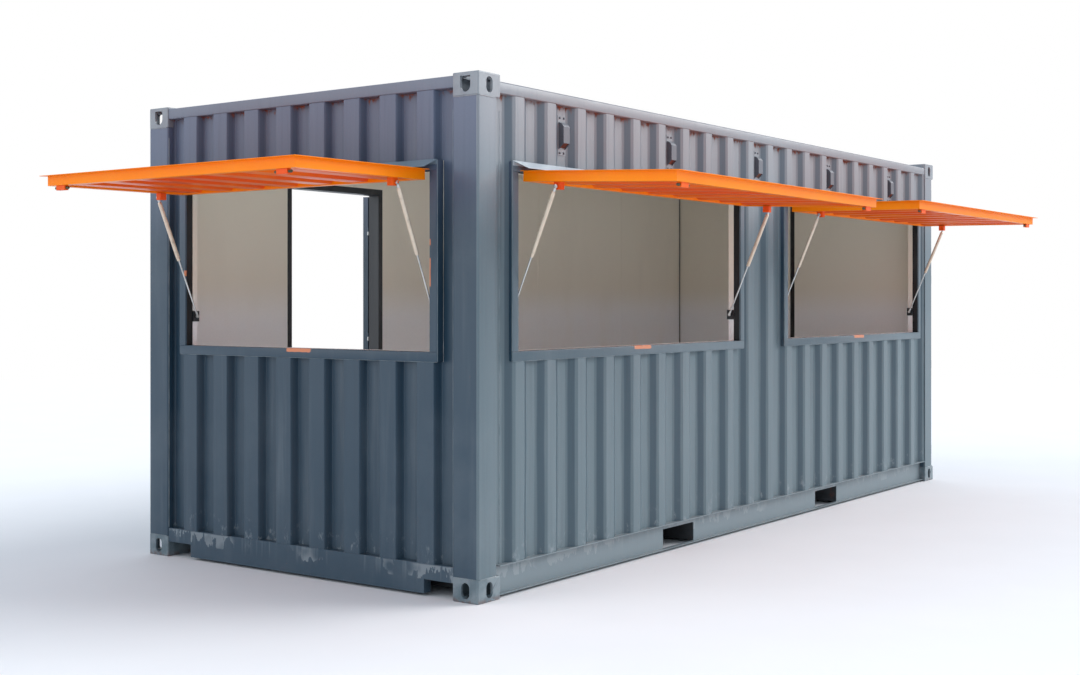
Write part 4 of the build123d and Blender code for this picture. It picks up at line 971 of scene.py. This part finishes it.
class CABIN_OT_walls(bpy.types.Operator):
    """Folded steel walls round the cabin, with holes for hatches and doorway"""
    bl_idname = "cabin.walls"
    bl_label = "Walls"

    def execute(self, context):
        sheets, seed = chosen("cabin_sheets"), chosen("cabin_stage").seed
        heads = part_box("hatch_heads_and_sills")
        holes = opening_rectangles(heads[0].z, heads[1].z, SURROUND_TUBE)
        recess = CAD_FRONT + sheets.side_first
        low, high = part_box("service_wall_bands")
        line = fold_line(low.x, high.x, recess, *folds("side"))
        levels = even(low.z, high.z, WALL_STEP)
        s, d, u, faces = opened_sheet(line, levels, holes["side"], seed, sheets.waviness)
        add_sheet("service_wall_sheet", (np.column_stack([s, low.y + d, u]), faces),
                  "service wall paint", ("service_wall_bands", "service_wall_piers"))

        low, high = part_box("back_wall_sides")
        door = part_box("doorway_head")
        hole = [(door[0].x, door[1].x, low.z - 1, door[1].z)]
        line = fold_line(low.x, high.x, recess, *folds("side"))
        s, d, u, faces = opened_sheet(line, levels, hole, seed + 1, sheets.waviness, True)
        add_sheet("back_wall_sheet", (np.column_stack([s, high.y - d, u]), faces),
                  "back wall paint", ("back_wall_sides", "back_wall_over_door"))

        low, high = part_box("front_wall_bands")
        line = fold_line(low.y, high.y, 0.0, *folds("end"))
        levels = even(low.z, high.z, WALL_STEP)
        s, d, u, faces = opened_sheet(line, levels, holes["end"], seed + 2, sheets.waviness, True)
        add_sheet("front_wall_sheet", (np.column_stack([low.x + d, s, u]), faces),
                  "front wall paint", ("front_wall_bands", "front_wall_piers"))
        return {"FINISHED"}


class CABIN_OT_roof(bpy.types.Operator):
    """Roof sheet with folds across the cabin, and its flat end plates"""
    bl_idname = "cabin.roof"
    bl_label = "Roof"

    def execute(self, context):
        sheets, seed = chosen("cabin_sheets"), chosen("cabin_stage").seed
        low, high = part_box("roof_sheet")
        line = fold_line(low.x, high.x, 0.0, *folds("roof")[:4], sheets.bend * 0.6)
        flat_edge, fade = 0.03, 0.075
        fade_levels = low.y + flat_edge + fade * np.linspace(0, 1, 6)
        levels = np.unique(np.concatenate([even(low.y, high.y, 0.12), fade_levels, -fade_levels]))
        s, d, u, faces = opened_sheet(line, levels, [], seed + 3, sheets.waviness)
        folded = np.clip((high.y - abs(u) - flat_edge) / fade, 0, 1)
        folded = folded ** 2 * (3 - 2 * folded)
        deep = sheets.roof_depth
        points = np.column_stack([s, u, high.z - deep - (d - deep) * folded])
        add_sheet("roof_skin", (points, faces), "roof paint", ("roof_sheet",))
        dressed_copy("roof_end_plates", "roof_end_flats", 0.0012, "roof paint")
        return {"FINISHED"}


class CABIN_OT_corners(bpy.types.Operator):
    """Cast corner blocks and the posts between them"""
    bl_idname = "cabin.corners"
    bl_label = "Corners"

    def execute(self, context):
        edge = chosen("cabin_sheets").edge
        for node in ("bottom_corner_castings", "top_corner_castings"):
            dressed_copy(node, node.replace("corner_castings", "cast_corners"), edge * 1.4,
                         "casting paint", 4, True)
        dressed_copy("rear_corner_posts", "rear_posts", edge * 0.5, "steel paint", 3)
        low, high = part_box("front_corner_posts")
        face, side_face, depth, lip, step, inset = 0.150, 0.162, 0.048, 0.178, 0.006, 0.008
        outline = [(0, 0), (face, 0), (face, depth - step), (lip, depth - step), (lip, depth),
                   (depth, depth), (depth, side_face), (0, side_face)]
        posts, beads = [], []
        for side in (1, -1):
            points = rounded([(low.x + x, side * (low.y + y)) for x, y in outline], 0.012, True, 5)
            posts.append(carried(points, "z", low.z, high.z))
        add_piece("front_posts", joined(posts), "steel paint", ("front_corner_posts",))
        for side in (-1, 1):
            for level in (low.z, high.z):
                beads.append(weld_line((low.x + inset, side * low.y, level),
                                       (low.x + face - inset, side * low.y, level)))
                beads.append(weld_line((low.x, side * (low.y + inset), level),
                                       (low.x, side * (low.y + side_face - inset), level)))
        foot, top = low.z + 0.05, high.z - 0.06
        for side in (-1, 1):
            for x, y, radius in ((inset, side_face + 0.0005, 0.0026), (lip - 0.001, inset, 0.0022)):
                x, y = low.x + x, side * (low.y + y)
                beads.append(weld_line((x, y, foot), (x, y, top), radius))
        add_piece("post_welds", joined(beads), "casting paint")
        return {"FINISHED"}


def weld_line(start, end, radius=0.0032, pitch=0.006):
    """A weld bead: an eight-sided tube along a line whose radius swells and narrows with a cosine."""
    start, end = np.asarray(start, float), np.asarray(end, float)
    span = np.linalg.norm(end - start)
    rings = max(4, int(span / (pitch / 2)))
    t = np.linspace(0, span, rings)
    size = radius * (0.9 + 0.12 * np.cos(2 * math.pi * t / pitch))
    size[0] = size[-1] = radius * 0.4
    return moved(turned(np.column_stack([t, size]), 8), place(start, None, end - start))


class CABIN_OT_rails(bpy.types.Operator):
    """Top and bottom rails, door header and sill"""
    bl_idname = "cabin.rails"
    bl_label = "Rails"

    def execute(self, context):
        edge, width, paint = chosen("cabin_sheets").edge, 0.060, "top rail paint"
        low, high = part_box("front_top_rail")
        add_piece("front_head_rail", bar(low, high, "y", edge * 1.6, 0.0), paint, ("front_top_rail",))
        low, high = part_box("door_header")
        add_piece("door_head_rail", bar(low, high, "y", edge * 1.4, 0.0), paint, ("door_header",))
        low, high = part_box("side_top_rails")
        sides = [bar((low.x, y, low.z), (high.x, y + width, high.z), "x", edge * 1.6, 0.0)
                 for y in (low.y, high.y - width)]
        add_piece("side_head_rails", joined(sides), paint, ("side_top_rails",))
        for node, name in (("side_bottom_rails", "side_sill_rails"),
                           ("front_bottom_rail", "front_sill_rail"), ("door_sill", "door_sill_rail")):
            dressed_copy(node, name, edge * 0.25, "bottom rail paint")
        return {"FINISHED"}


class CABIN_OT_underframe(bpy.types.Operator):
    """Crossmembers, fork pockets and the plywood floor"""
    bl_idname = "cabin.underframe"
    bl_label = "Underframe and floor"

    def execute(self, context):
        dressed_copy("crossmembers", "cross_channels", 0.001, "underframe paint", 1)
        dressed_copy("fork_pockets", "fork_tunnels", 0.0015, "underframe paint")
        low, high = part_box("floor_boards")
        width, screw_step = 1.2, 0.4
        line = grooved_line(low.x, high.x, np.arange(low.x + width, high.x - 0.2, width), 0.0025, 0.004)
        s, d, u, faces = opened_sheet(line, even(low.y, high.y, 0.3), [], 5, 0.0004)
        floor = add_piece("floor_sheets", board(np.column_stack([s, u, high.z - d]), faces, 2, low.z),
                          "floor ply", ("floor_boards",), "floor_ply")
        round_edges(floor, 0.001, 1, SHARP_CUT)
        head = turned([(-0.002, 0.0052), (0.0, 0.0052), (0.0012, 0.004), (0.0012, 0.0002)], 8)
        screws = [moved(head, place((x, y, high.z))) for x in np.arange(low.x + 0.05, high.x, screw_step)
                  for y in np.linspace(low.y + 0.06, high.y - 0.06, 9)]
        add_piece("floor_screws", joined(screws), "zinc steel", (), "hinge_steel")
        return {"FINISHED"}


def grooved_line(start, end, seams, depth, width):
    """Stations and depths of a flat board with a V groove at each seam."""
    seams = np.asarray(seams, float)
    stations = (seams[:, None] + np.array([-width / 2, 0, width / 2])).ravel()
    depths = np.tile([0.0, depth, 0.0], len(seams))
    line = np.column_stack([np.concatenate([[start], stations, [end]]),
                            np.concatenate([[0.0], depths, [0.0]])])
    return line[np.argsort(line[:, 0])]


class CABIN_OT_lining(bpy.types.Operator):
    """White lining sheets with narrow joints on walls, ceiling and doors"""
    bl_idname = "cabin.lining"
    bl_label = "Lining"

    def execute(self, context):
        foot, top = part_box("lining_piers")[0].z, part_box("lining_piers")[1].z
        inner_x, inner_y = CAD_FRONT + LINING_INSET, CAD_SERVICE + LINING_INSET
        seams = inner_x + chosen("cabin_sheets").board * np.arange(1, 5)
        self.panels(opening_rectangles(foot, top), inner_x, inner_y, seams)
        dressed_copy("rear_lining", "door_lining_boards", 0.0015, "lining sheet")
        dressed_copy("centre_seal", "door_centre_seal", 0.003, "rubber", 3)

        back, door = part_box("back_lining_sides")[0].y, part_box("doorway_head")
        floor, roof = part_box("floor_boards")[1].z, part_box("ceiling_lining")[0].z
        trim, rear = 0.009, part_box("rear_lining")[0].x - 0.011
        corners = [bar((x0, y0, floor), (x0 + trim, y0 + trim, roof), "z", 0.003)
                   for x0 in (rear, inner_x) for y0 in (back - trim, -back)]
        add_piece("corner_trims", joined(corners), "joint filler", (), "seal_rubber")
        boxes = []
        half, proud = chosen("cabin_sheets").strip / 2, 0.002
        for x in seams:
            start = door[1].z if door[0].x < x < door[1].x else floor
            boxes.append(((x - half, back - proud, start), (x + half, back, roof), "z"))
            boxes.append(((x - half, inner_y, roof - proud), (x + half, -inner_y, roof), "y"))
            for z0, z1 in ((floor, foot), (top, roof - proud)):
                boxes.append(((x - half, inner_y, z0), (x + half, inner_y + proud, z1), "z"))
        for y in (-END_SEAM, END_SEAM):
            for z0, z1 in ((floor, foot), (top, roof)):
                boxes.append(((inner_x, y - half, z0), (inner_x + proud, y + half, z1), "z"))
        add_piece("joint_strips", joined([bar(*box, 0.0008) for box in boxes]), "lining sheet", (),
                  "lining_white")
        return {"FINISHED"}

    def panels(self, holes, inner_x, inner_y, seams):
        """The boards of the two long walls, the front and the ceiling, with grooves at their seams."""
        groove = (0.004, 0.008)
        low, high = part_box("lining_bands")
        back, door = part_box("back_lining_sides"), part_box("doorway_head")
        levels = even(low.z, high.z, BOARD_STEP)
        line = grooved_line(inner_x + 0.002, back[1].x, seams, *groove)
        s, d, u, faces = opened_sheet(line, levels, holes["side"], 21, BOARD_WAVES, True)
        self.panel("service_lining", np.column_stack([s, inner_y - d, u]), faces, 1,
                   inner_y - LINING_BACK, ("lining_piers",))

        line = grooved_line(low.y, -low.y, [-END_SEAM, END_SEAM], *groove)
        s, d, u, faces = opened_sheet(line, levels, holes["end"], 22, BOARD_WAVES)
        self.panel("front_lining", np.column_stack([inner_x - d, s, u]), faces, 0, low.x, ("lining_bands",))

        hole = [(door[0].x, door[1].x, back[0].z - 1, door[1].z)]
        line = grooved_line(back[0].x, back[1].x, seams, *groove)
        s, d, u, faces = opened_sheet(line, levels, hole, 23, BOARD_WAVES)
        self.panel("back_lining", np.column_stack([s, back[0].y + d, u]), faces, 1, back[1].y,
                   ("back_lining_sides", "back_lining_over_door"))

        low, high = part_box("ceiling_lining")
        line = grooved_line(low.x, high.x, seams, *groove)
        s, d, u, faces = opened_sheet(line, even(low.y, high.y, BOARD_STEP), [], 24, BOARD_WAVES, True)
        self.panel("ceiling_sheets", np.column_stack([s, u, low.z + d]), faces, 2, high.z,
                   ("ceiling_lining",))

    def panel(self, name, points, faces, axis, back, nodes):
        """One white board with its flat back."""
        sheet = add_piece(name, board(points, faces, axis, back), "lining sheet", nodes, "lining_white")
        round_edges(sheet, 0.0008, 1, SHARP_CUT)


# Hatches

def hatch_facts(name):
    """Where a hatch hangs: its hinge, the turn and tilt of its frame, its half widths and its wall."""
    joint = JOINTS[f"{name}_hatch_hinge"]
    turn = math.atan2(joint["axis"][1], joint["axis"][0])
    tilt = math.radians(90.0 - joint["range_deg"][1])
    level = place(joint["pos_m"], (math.cos(turn), math.sin(turn), 0))
    lean = np.eye(4)
    lean[1:3, 1:3] = [[math.cos(tilt), -math.sin(tilt)], [math.sin(tilt), math.cos(tilt)]]
    low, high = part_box(f"{name}_hatch_frame")
    kind, across = ("end", 1) if name == "end" else ("side", 0)
    half = (high[across] - low[across]) / 2 - chosen("cabin_hatches").lip
    return {"pivot": joint["pos_m"], "level": level, "open": level @ lean, "half": half,
            "opening": half + HATCH_GAP, "kind": kind, "across": across}


class CABIN_OT_surrounds(bpy.types.Operator):
    """Welded tube surrounds of the hatch openings, black strips on their inner faces, and rain flashings"""
    bl_idname = "cabin.surrounds"
    bl_label = "Hatch surrounds"

    def execute(self, context):
        seals, heads, jambs, beads = [], [], [], []
        for name in HATCH_NAMES:
            facts = hatch_facts(name)
            for shapes, made in zip((heads, jambs, beads, seals), self.surround(facts)):
                shapes.extend(moved(shape, facts["level"]) for shape in made)
        paint = "surround paint"
        add_piece("surround_heads", joined(heads), paint, ("hatch_heads_and_sills",))
        add_piece("surround_jambs", joined(jambs), paint, ("hatch_jambs",))
        add_piece("surround_welds", joined(beads), "casting paint")
        add_piece("opening_seals", joined(seals), "rubber", (), "seal_rubber")
        dressed_copy("rain_flashings", "drip_flashings", 0.0006, "flashing paint")
        dressed_copy("hatch_hinge_lugs", "fixed_hinge_halves", 0.001, paint)
        return {"FINISHED"}

    def surround(self, facts):
        """The tubes, weld beads and black inner strips of one opening, with the hinge as origin."""
        tube, front, rounding = SURROUND_TUBE, SURROUND_FRONT, 0.004
        low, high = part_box("hatch_jambs")
        half, outer = facts["opening"], facts["opening"] + tube
        top, foot = high.z - facts["pivot"][2], low.z - facts["pivot"][2]
        heads = [bar((-outer, front, z), (outer, front + tube, z + tube), "x", rounding)
                 for z in (top, foot - tube)]
        jambs = [bar((x0, front, foot), (x1, front + tube, top), "z", rounding, 0.0)
                 for x0, x1 in ((-outer, -half), (half, outer))]
        z0, z1, y = foot - tube, top + tube, front + rounding
        beads = [weld_line(start, end, 0.0024, 0.009)
                 for start, end in (((-outer, y, z0), (-outer, y, z1)), ((outer, y, z0), (outer, y, z1)),
                                    ((-outer, y, z0), (outer, y, z0)))]
        # Thin black strips on the inner faces of the jambs and the head
        strip, y0, y1 = chosen("cabin_hatches").dark_strip, front + 0.010, front + tube - 0.001
        seals = [bar((x, y0, foot), (x + strip, y1, top), "z", 0.0006) for x in (-half, half - strip)]
        seals.append(bar((-half, y0, top - strip), (half, y1, top), "x", 0.0006))
        return heads, jambs, beads, seals


class CABIN_OT_hatches(bpy.types.Operator):
    """Three orange hatches with folded infill, weather lips, brackets and catches"""
    bl_idname = "cabin.hatches"
    bl_label = "Hatches"

    def execute(self, context):
        hatches = chosen("cabin_hatches")
        for name in HATCH_NAMES:
            facts = hatch_facts(name)
            body = f"{name}_hatch"
            dressed_copy(f"{name}_hatch_frame", f"{name}_hatch_rim", 0.0012, "hatch paint")
            dressed_copy(f"{name}_hatch_fittings", f"{name}_hatch_brackets", 0.002, "hatch fitting paint")
            pitch, flat, slope, depth, bend = folds(facts["kind"])
            if name == "end":
                depth = hatches.thickness - 0.012
            half = facts["half"] - hatches.member
            line = fold_line(-half, half, 0.0, pitch, flat, slope, depth, bend)
            levels = even(hatches.start + hatches.member, HATCH_LENGTH - hatches.member, 0.08)
            s, d, u, faces = opened_sheet(line, levels, [], 31, BOARD_WAVES, True)
            points = np.column_stack([s, -u, -hatches.face - 0.005 - d])
            add_sheet(f"{name}_hatch_infill", moved((points, faces), facts["open"]), "hatch infill paint",
                      (f"{name}_hatch_sheet",), "hatch_paint", body)
            self.bolts_and_pins(name, facts, body)
        return {"FINISHED"}

    def bolts_and_pins(self, name, facts, body):
        """Dark green spring bolts in the corner catches and bright pins in the hinges."""
        stem = turned([(-0.056, 0.0045), (-0.052, 0.0070), (0.052, 0.0070), (0.056, 0.0045)], 14)
        out = facts["half"] - 0.060 - 0.035
        bolts = [moved(moved(stem, place((x, -HATCH_LENGTH + 0.020, -0.070), None, (1, 0, 0))),
                       facts["open"]) for x in (-out, out)]
        pin = turned([(-0.047, 0.0015), (-0.047, 0.0045), (-0.045, 0.0055), (0.045, 0.0055),
                      (0.047, 0.0045), (0.047, 0.0015)], 14)
        reach = facts["opening"] - 0.260
        pins = [moved(moved(pin, place((x, 0, 0), None, (1, 0, 0))), facts["level"])
                for x in (-reach, 0.0, reach)]
        add_piece(f"{name}_catch_bolts", joined(bolts), "catch green", (), "hatch_paint", body)
        add_piece(f"{name}_hinge_pins", joined(pins), "zinc steel", (), "hinge_steel")


class CABIN_OT_struts(bpy.types.Operator):
    """Gas struts with turned tubes, rods and end fittings, and their black feet"""
    bl_idname = "cabin.struts"
    bl_label = "Gas struts"

    def execute(self, context):
        dressed_copy("strut_foot_brackets", "strut_feet", 0.0012, "black paint")
        for name in HATCH_NAMES:
            self.pair(name, chosen("cabin_hatches"))
        return {"FINISHED"}

    def pair(self, name, sizes):
        """The two struts of one hatch, each along the line of its joint from its head to its foot."""
        slide = np.array(JOINTS[f"{name}_strut_slide"]["axis"], float)
        pivot = JOINTS[f"{name}_strut_pivot"]
        head, axis = np.array(pivot["pos_m"], float), np.array(pivot["axis"], float)
        tube_body, rod_body = f"{name}_strut_cylinders", f"{name}_strut_rods"
        low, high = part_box(tube_body)
        spread = abs(np.array(high - low) @ axis) / 2 - sizes.tube
        foot_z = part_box(rod_body)[0].z + 0.010
        span = (head[2] - foot_z) / slide[2]
        tubes, fittings, rods, ends = [], [], [], []
        for side in (-1, 1):
            at = place(head + axis * side * spread, axis, slide)
            tubes.append(moved(self.tube(sizes), at))
            fittings.append(moved(self.eye(-0.030), at))
            foot = at.copy()
            foot[:3, 3] = at[:3, 3] - slide * span
            rods.append(moved(self.shaft(sizes, span), foot))
            ends.append(moved(self.eye(0.028), foot))
        for part, shapes, finish, replaces, body in (
                ("tubes", tubes, "strut coat", (tube_body,), tube_body),
                ("heads", fittings, "zinc steel", (), tube_body),
                ("shafts", rods, "zinc steel", (rod_body,), rod_body),
                ("ends", ends, "zinc steel", (), rod_body)):
            add_piece(f"{name}_strut_{part}", joined(shapes), finish, replaces, "strut_steel", body)

    def tube(self, sizes):
        """The pressure tube below its fitting, with a shoulder and a rolled groove near its open end."""
        r, end = sizes.tube, -sizes.tube_end
        return turned([(end, r * 0.50), (end + 0.0005, r * 0.78), (end + 0.003, r * 0.93),
                       (end + 0.010, r * 0.95), (end + 0.012, r * 0.86), (end + 0.015, r * 0.86),
                       (end + 0.017, r), (-0.036, r), (-0.031, r * 0.9), (-0.028, r * 0.66),
                       (-0.027, r * 0.3)], 28)

    def eye(self, neck):
        """An eye round local X with its hexagon neck; the neck ends at a signed distance along Z."""
        radius, width = 0.0098, 0.0096
        angle = np.linspace(0, 2 * math.pi, 25)[:-1]
        ring = np.column_stack([radius * np.cos(angle), radius * np.sin(angle)])
        disc = carried(ring, "x", -width / 2, width / 2, 0.0012)
        z0, z1 = sorted((neck, neck * 0.30))
        stem = turned([(z0, 0.0062), (z0 + 0.001, 0.0070), (z1 - 0.001, 0.0070), (z1, 0.0060)], 6)
        boss = turned([(-width / 2 - 0.0022, 0.0030), (-width / 2 - 0.0022, 0.0050),
                       (width / 2 + 0.0006, 0.0052), (width / 2 + 0.0006, 0.0030)], 16)
        return joined([disc, stem, moved(boss, place((0, 0, 0), None, (1, 0, 0)))])

    def shaft(self, sizes, span):
        """The polished rod, with a collar at its foot fitting, that ends inside the tube."""
        r = sizes.rod
        top = span - sizes.tube_end + 0.060
        return turned([(0.016, r * 0.8), (0.017, r * 1.1), (0.030, r * 1.1), (0.031, r), (top, r)], 20)


# Fittings on the walls

class CABIN_OT_vents(bpy.types.Operator):
    """Hooded wall vents with their scoops and bolts"""
    bl_idname = "cabin.vents"
    bl_label = "Wall vents"

    def execute(self, context):
        sheets, foot = chosen("cabin_sheets"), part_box("wall_vents")[0].z
        half, tall, bolt_across, bolt_levels = 0.035, 0.213, 0.018, (0.014, 0.199)
        outline = rounded([(-half, 0), (half, 0), (half, tall), (-half, tall)], 0.006, True, 4)
        upright = place((0, 0, 0), (1, 0, 0), (0, -1, 0))
        plate = moved(carried(outline, "z", 0, 0.0024, 0.0008, 2), upright)
        head = turned([(0.0, 0.0078), (0.0012, 0.0078), (0.0014, 0.0060), (0.0048, 0.0058),
                       (0.0055, 0.0046)], 6)
        heads = [moved(head, place((x, -0.0022, z), None, (0, -1, 0)))
                 for x in (-bolt_across, bolt_across) for z in bolt_levels]
        plates, hoods, scoops, bolts = [], [], [], []
        first = CAD_FRONT + sheets.side_first
        recess = CAD_SERVICE + 0.008 + sheets.side_depth
        for side in (1, -1):
            for number in range(5):
                x = first + number * 4 * sheets.side_pitch
                at = place((x, side * recess, foot), (side, 0, 0))
                plates.append(moved(plate, at))
                hoods.append(moved(self.hood(), at))
                scoops.append(moved(self.scoop(), at))
                bolts.extend(moved(bolt, at) for bolt in heads)
        add_piece("vent_flanges", joined(plates), "vent paint", ("wall_vents",), "vent_paint")
        hood = add_piece("vent_hoods", joined(hoods), "hood paint", (), "vent_paint")
        give_thickness(hood, 0.0012, 0.0003)
        add_piece("vent_scoops", joined(scoops), "vent scoop", (), "vent_paint")
        add_piece("vent_bolts", joined(bolts), "hood paint", (), "hinge_steel")
        return {"FINISHED"}

    def hood(self):
        """A hood that is a U in plan, whose depth grows from nothing at its crown and ends on a slant.

        Round the U, share a of the way out, the hood's foot rises by 34 mm times a.
        """
        deep, crown, foot, half = 0.034, 0.176, 0.063, 0.028
        plan = rounded([(-half, 0.0), (-half, -1.0), (half, -1.0), (half, 0.0)], 0.006, False, 6)
        out = -plan[:, 1]
        levels = np.linspace(0, 1, 15)[:, None]
        floor = foot - deep * (1 - out)
        z = crown - 0.001 - levels ** 1.2 * (crown - 0.001 - floor)
        grown = np.clip((crown - z) / 0.026, 0, 1) ** 0.5
        y = -deep * out * np.maximum(grown, 0.03)
        x = np.broadcast_to(plan[:, 0], z.shape)
        verts = np.stack([x, y - 0.0005, z], axis=-1).reshape(-1, 3)
        return verts, grid_faces(len(plan), len(levels), None, True)

    def scoop(self):
        """The rusty slanted plate just inside the hood's mouth."""
        outline = [(-0.002, 0.040), (-0.030, 0.068), (-0.030, 0.072), (-0.002, 0.044)]
        return carried(outline, "x", -0.0262, 0.0262)


class CABIN_OT_doorway(bpy.types.Operator):
    """Doorway frame, the folded-back door, its hinges and handles"""
    bl_idname = "cabin.doorway"
    bl_label = "Doorway"

    def execute(self, context):
        dressed_copy("doorway_jambs", "door_frame_sides", 0.002, "black paint")
        dressed_copy("doorway_head", "door_frame_head", 0.002, "black paint")
        dressed_copy("door_leaf", "door_panel", 0.0015, "steel paint")
        dressed_copy("door_handles", "door_levers", 0.002, "zinc steel")
        dressed_copy("door_hinge_lugs", "door_hinge_halves", 0.0012, "zinc steel")
        return {"FINISHED"}


class CABIN_OT_cargo_doors(bpy.types.Operator):
    """Cargo doors at the far end with hinges, lock rods and handles"""
    bl_idname = "cabin.cargo_doors"
    bl_label = "Cargo doors"

    def execute(self, context):
        dressed_copy("cargo_door_leaves", "cargo_leaves", 0.003, "steel paint", 3)
        dressed_copy("cargo_door_hinges", "cargo_hinges", 0.0015, "steel paint")
        dressed_copy("cargo_door_lock_rods", "cargo_lock_bars", 0.001, "zinc steel")
        dressed_copy("lock_rod_guides", "lock_bar_guides", 0.001, "zinc steel")
        dressed_copy("lock_rod_handles", "lock_bar_handles", 0.001, "zinc steel")
        return {"FINISHED"}


class CABIN_OT_stage(bpy.types.Operator):
    """Pale floor, soft light and the camera of the photograph"""
    bl_idname = "cabin.stage"
    bl_label = "Stage"

    def execute(self, context):
        stage = chosen("cabin_stage")
        scene = context.scene
        radii = np.array([0.0, 6.0, 14.0, 30.0, 60.0])
        angle = np.linspace(0, 2 * math.pi, 65)
        ring, turn = np.meshgrid(radii, angle)
        verts = np.column_stack([(ring * np.cos(turn)).ravel(), (ring * np.sin(turn)).ravel(),
                                 np.zeros(ring.size)])
        mesh = bpy.data.meshes.new("stage_floor")
        mesh.from_pydata(verts.tolist(), [], grid_faces(len(radii), len(angle)).tolist())
        floor = bpy.data.objects.new("stage_floor", mesh)
        scene.collection.objects.link(floor)
        mesh.materials.append(self.floor_material(stage))
        self.world(scene, stage)
        self.lamp(scene, "key_light", (11.0, -8.0, 8.5), stage.key_level, 45.0)
        self.lamp(scene, "end_fill", (-11.5, 8.0, 5.5), stage.fill_level, 50.0)
        data = bpy.data.cameras.new("camera")
        data.sensor_width, data.lens, data.shift_y = 36.0, stage.lens, stage.shift
        camera = bpy.data.objects.new("camera", data)
        camera.location = (stage.camera_x, stage.camera_y, stage.camera_z)
        camera.rotation_euler = (math.pi / 2, 0.0, stage.yaw - math.pi / 2)
        scene.collection.objects.link(camera)
        scene.camera = camera
        scene.view_settings.view_transform = "Standard"
        return {"FINISHED"}

    def floor_material(self, stage):
        """A pale floor that keeps shadows and turns white far away from the cabin."""
        made = bpy.data.materials.new("stage floor")
        made.use_nodes = True
        net = Net(made.node_tree)
        shader = made.node_tree.nodes["Principled BSDF"]
        shader.inputs["Roughness"].default_value = 0.75
        where = net.where()
        speck = net.noise(where, 1.5, detail=2.0)
        tone = tuple(stage.floor)
        net.put(shader.inputs["Base Color"], net.mix(net.step(speck, 0.3, 0.7), tone,
                                                     darker(tone, 0.985)))
        away = net.node("ShaderNodeVectorMath", {0: where}, operation="LENGTH").outputs["Value"]
        path = net.node("ShaderNodeLightPath")
        white = net.node("ShaderNodeEmission", {"Color": (1, 1, 1), "Strength": 1.0})
        factor = net.calc("MULTIPLY", net.step(away, 7.0, 20.0), path.outputs["Is Camera Ray"])
        blend = net.node("ShaderNodeMixShader", {0: factor, 1: shader.outputs[0], 2: white.outputs[0]})
        net.put(made.node_tree.nodes["Material Output"].inputs["Surface"], blend.outputs[0])
        return made

    def world(self, scene, stage):
        """Soft light from all round, and white behind the cabin."""
        world = bpy.data.worlds.new("world")
        world.use_nodes = True
        net = Net(world.node_tree)
        world.node_tree.nodes.clear()
        path = net.node("ShaderNodeLightPath")
        seen = net.calc("MAXIMUM", path.outputs["Is Camera Ray"], path.outputs["Is Transmission Ray"])
        light = net.node("ShaderNodeBackground", {"Color": tuple(stage.sky), "Strength": stage.sky_level})
        white = net.node("ShaderNodeBackground", {"Color": (1, 1, 1), "Strength": 1.0})
        blend = net.node("ShaderNodeMixShader", {0: seen, 1: light.outputs[0], 2: white.outputs[0]})
        net.node("ShaderNodeOutputWorld", {0: blend.outputs[0]})
        scene.world = world

    def lamp(self, scene, name, where, power, spread):
        """A sun lamp of a broad angle in degrees that shines from a place towards the cabin."""
        data = bpy.data.lights.new(name, "SUN")
        data.energy, data.angle = power, math.radians(spread)
        lamp = bpy.data.objects.new(name, data)
        lamp.location = where
        lamp.rotation_euler = Vector(where).to_track_quat("Z", "Y").to_euler()
        scene.collection.objects.link(lamp)


class CABIN_OT_finishes(bpy.types.Operator):
    """Paints, metals, boards and rubber of the cabin"""
    bl_idname = "cabin.finishes"
    bl_label = "Finishes"

    def execute(self, context):
        for make in (wall_paints, roof_paint, underframe_paint, post_and_rail_paints, casting_paint,
                     bottom_rail_paint, surround_paint, orange_paints, flashing_paint, plated_metals,
                     plain_paints, scoop_rust, lining_sheet, floor_ply):
            make()
        return {"FINISHED"}


OPERATORS = (CABIN_OT_finishes, CABIN_OT_walls, CABIN_OT_roof, CABIN_OT_corners, CABIN_OT_rails,
             CABIN_OT_underframe, CABIN_OT_lining, CABIN_OT_surrounds, CABIN_OT_hatches, CABIN_OT_struts,
             CABIN_OT_vents, CABIN_OT_doorway, CABIN_OT_cargo_doors, CABIN_OT_stage)


class CABIN_PT_panel(bpy.types.Panel):
    """Lists the cabin's pieces in the sidebar"""
    bl_idname = "CABIN_PT_panel"
    bl_label = "Serving cabin"
    bl_space_type = "VIEW_3D"
    bl_region_type = "UI"
    bl_category = "Cabin"

    def draw(self, context):
        for operator in OPERATORS:
            self.layout.operator(operator.bl_idname)
        for group, kind in GROUPS.items():
            box = self.layout.box()
            for key in kind.__annotations__:
                box.prop(getattr(context.scene, group), key)


def register():
    for kind in (*GROUPS.values(), *OPERATORS, CABIN_PT_panel):
        bpy.utils.register_class(kind)
    for name, kind in GROUPS.items():
        setattr(bpy.types.Scene, name, PointerProperty(type=kind))


def unregister():
    for name in GROUPS:
        delattr(bpy.types.Scene, name)
    for kind in reversed((*GROUPS.values(), *OPERATORS, CABIN_PT_panel)):
        bpy.utils.unregister_class(kind)


def main():
    """Registers the add-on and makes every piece."""
    register()
    for operator in OPERATORS:
        group, name = operator.bl_idname.split(".")
        if getattr(getattr(bpy.ops, group), name)() != {"FINISHED"}:
            raise RuntimeError(f"{operator.bl_label} did not finish")


if __name__ == "__main__":
    main()
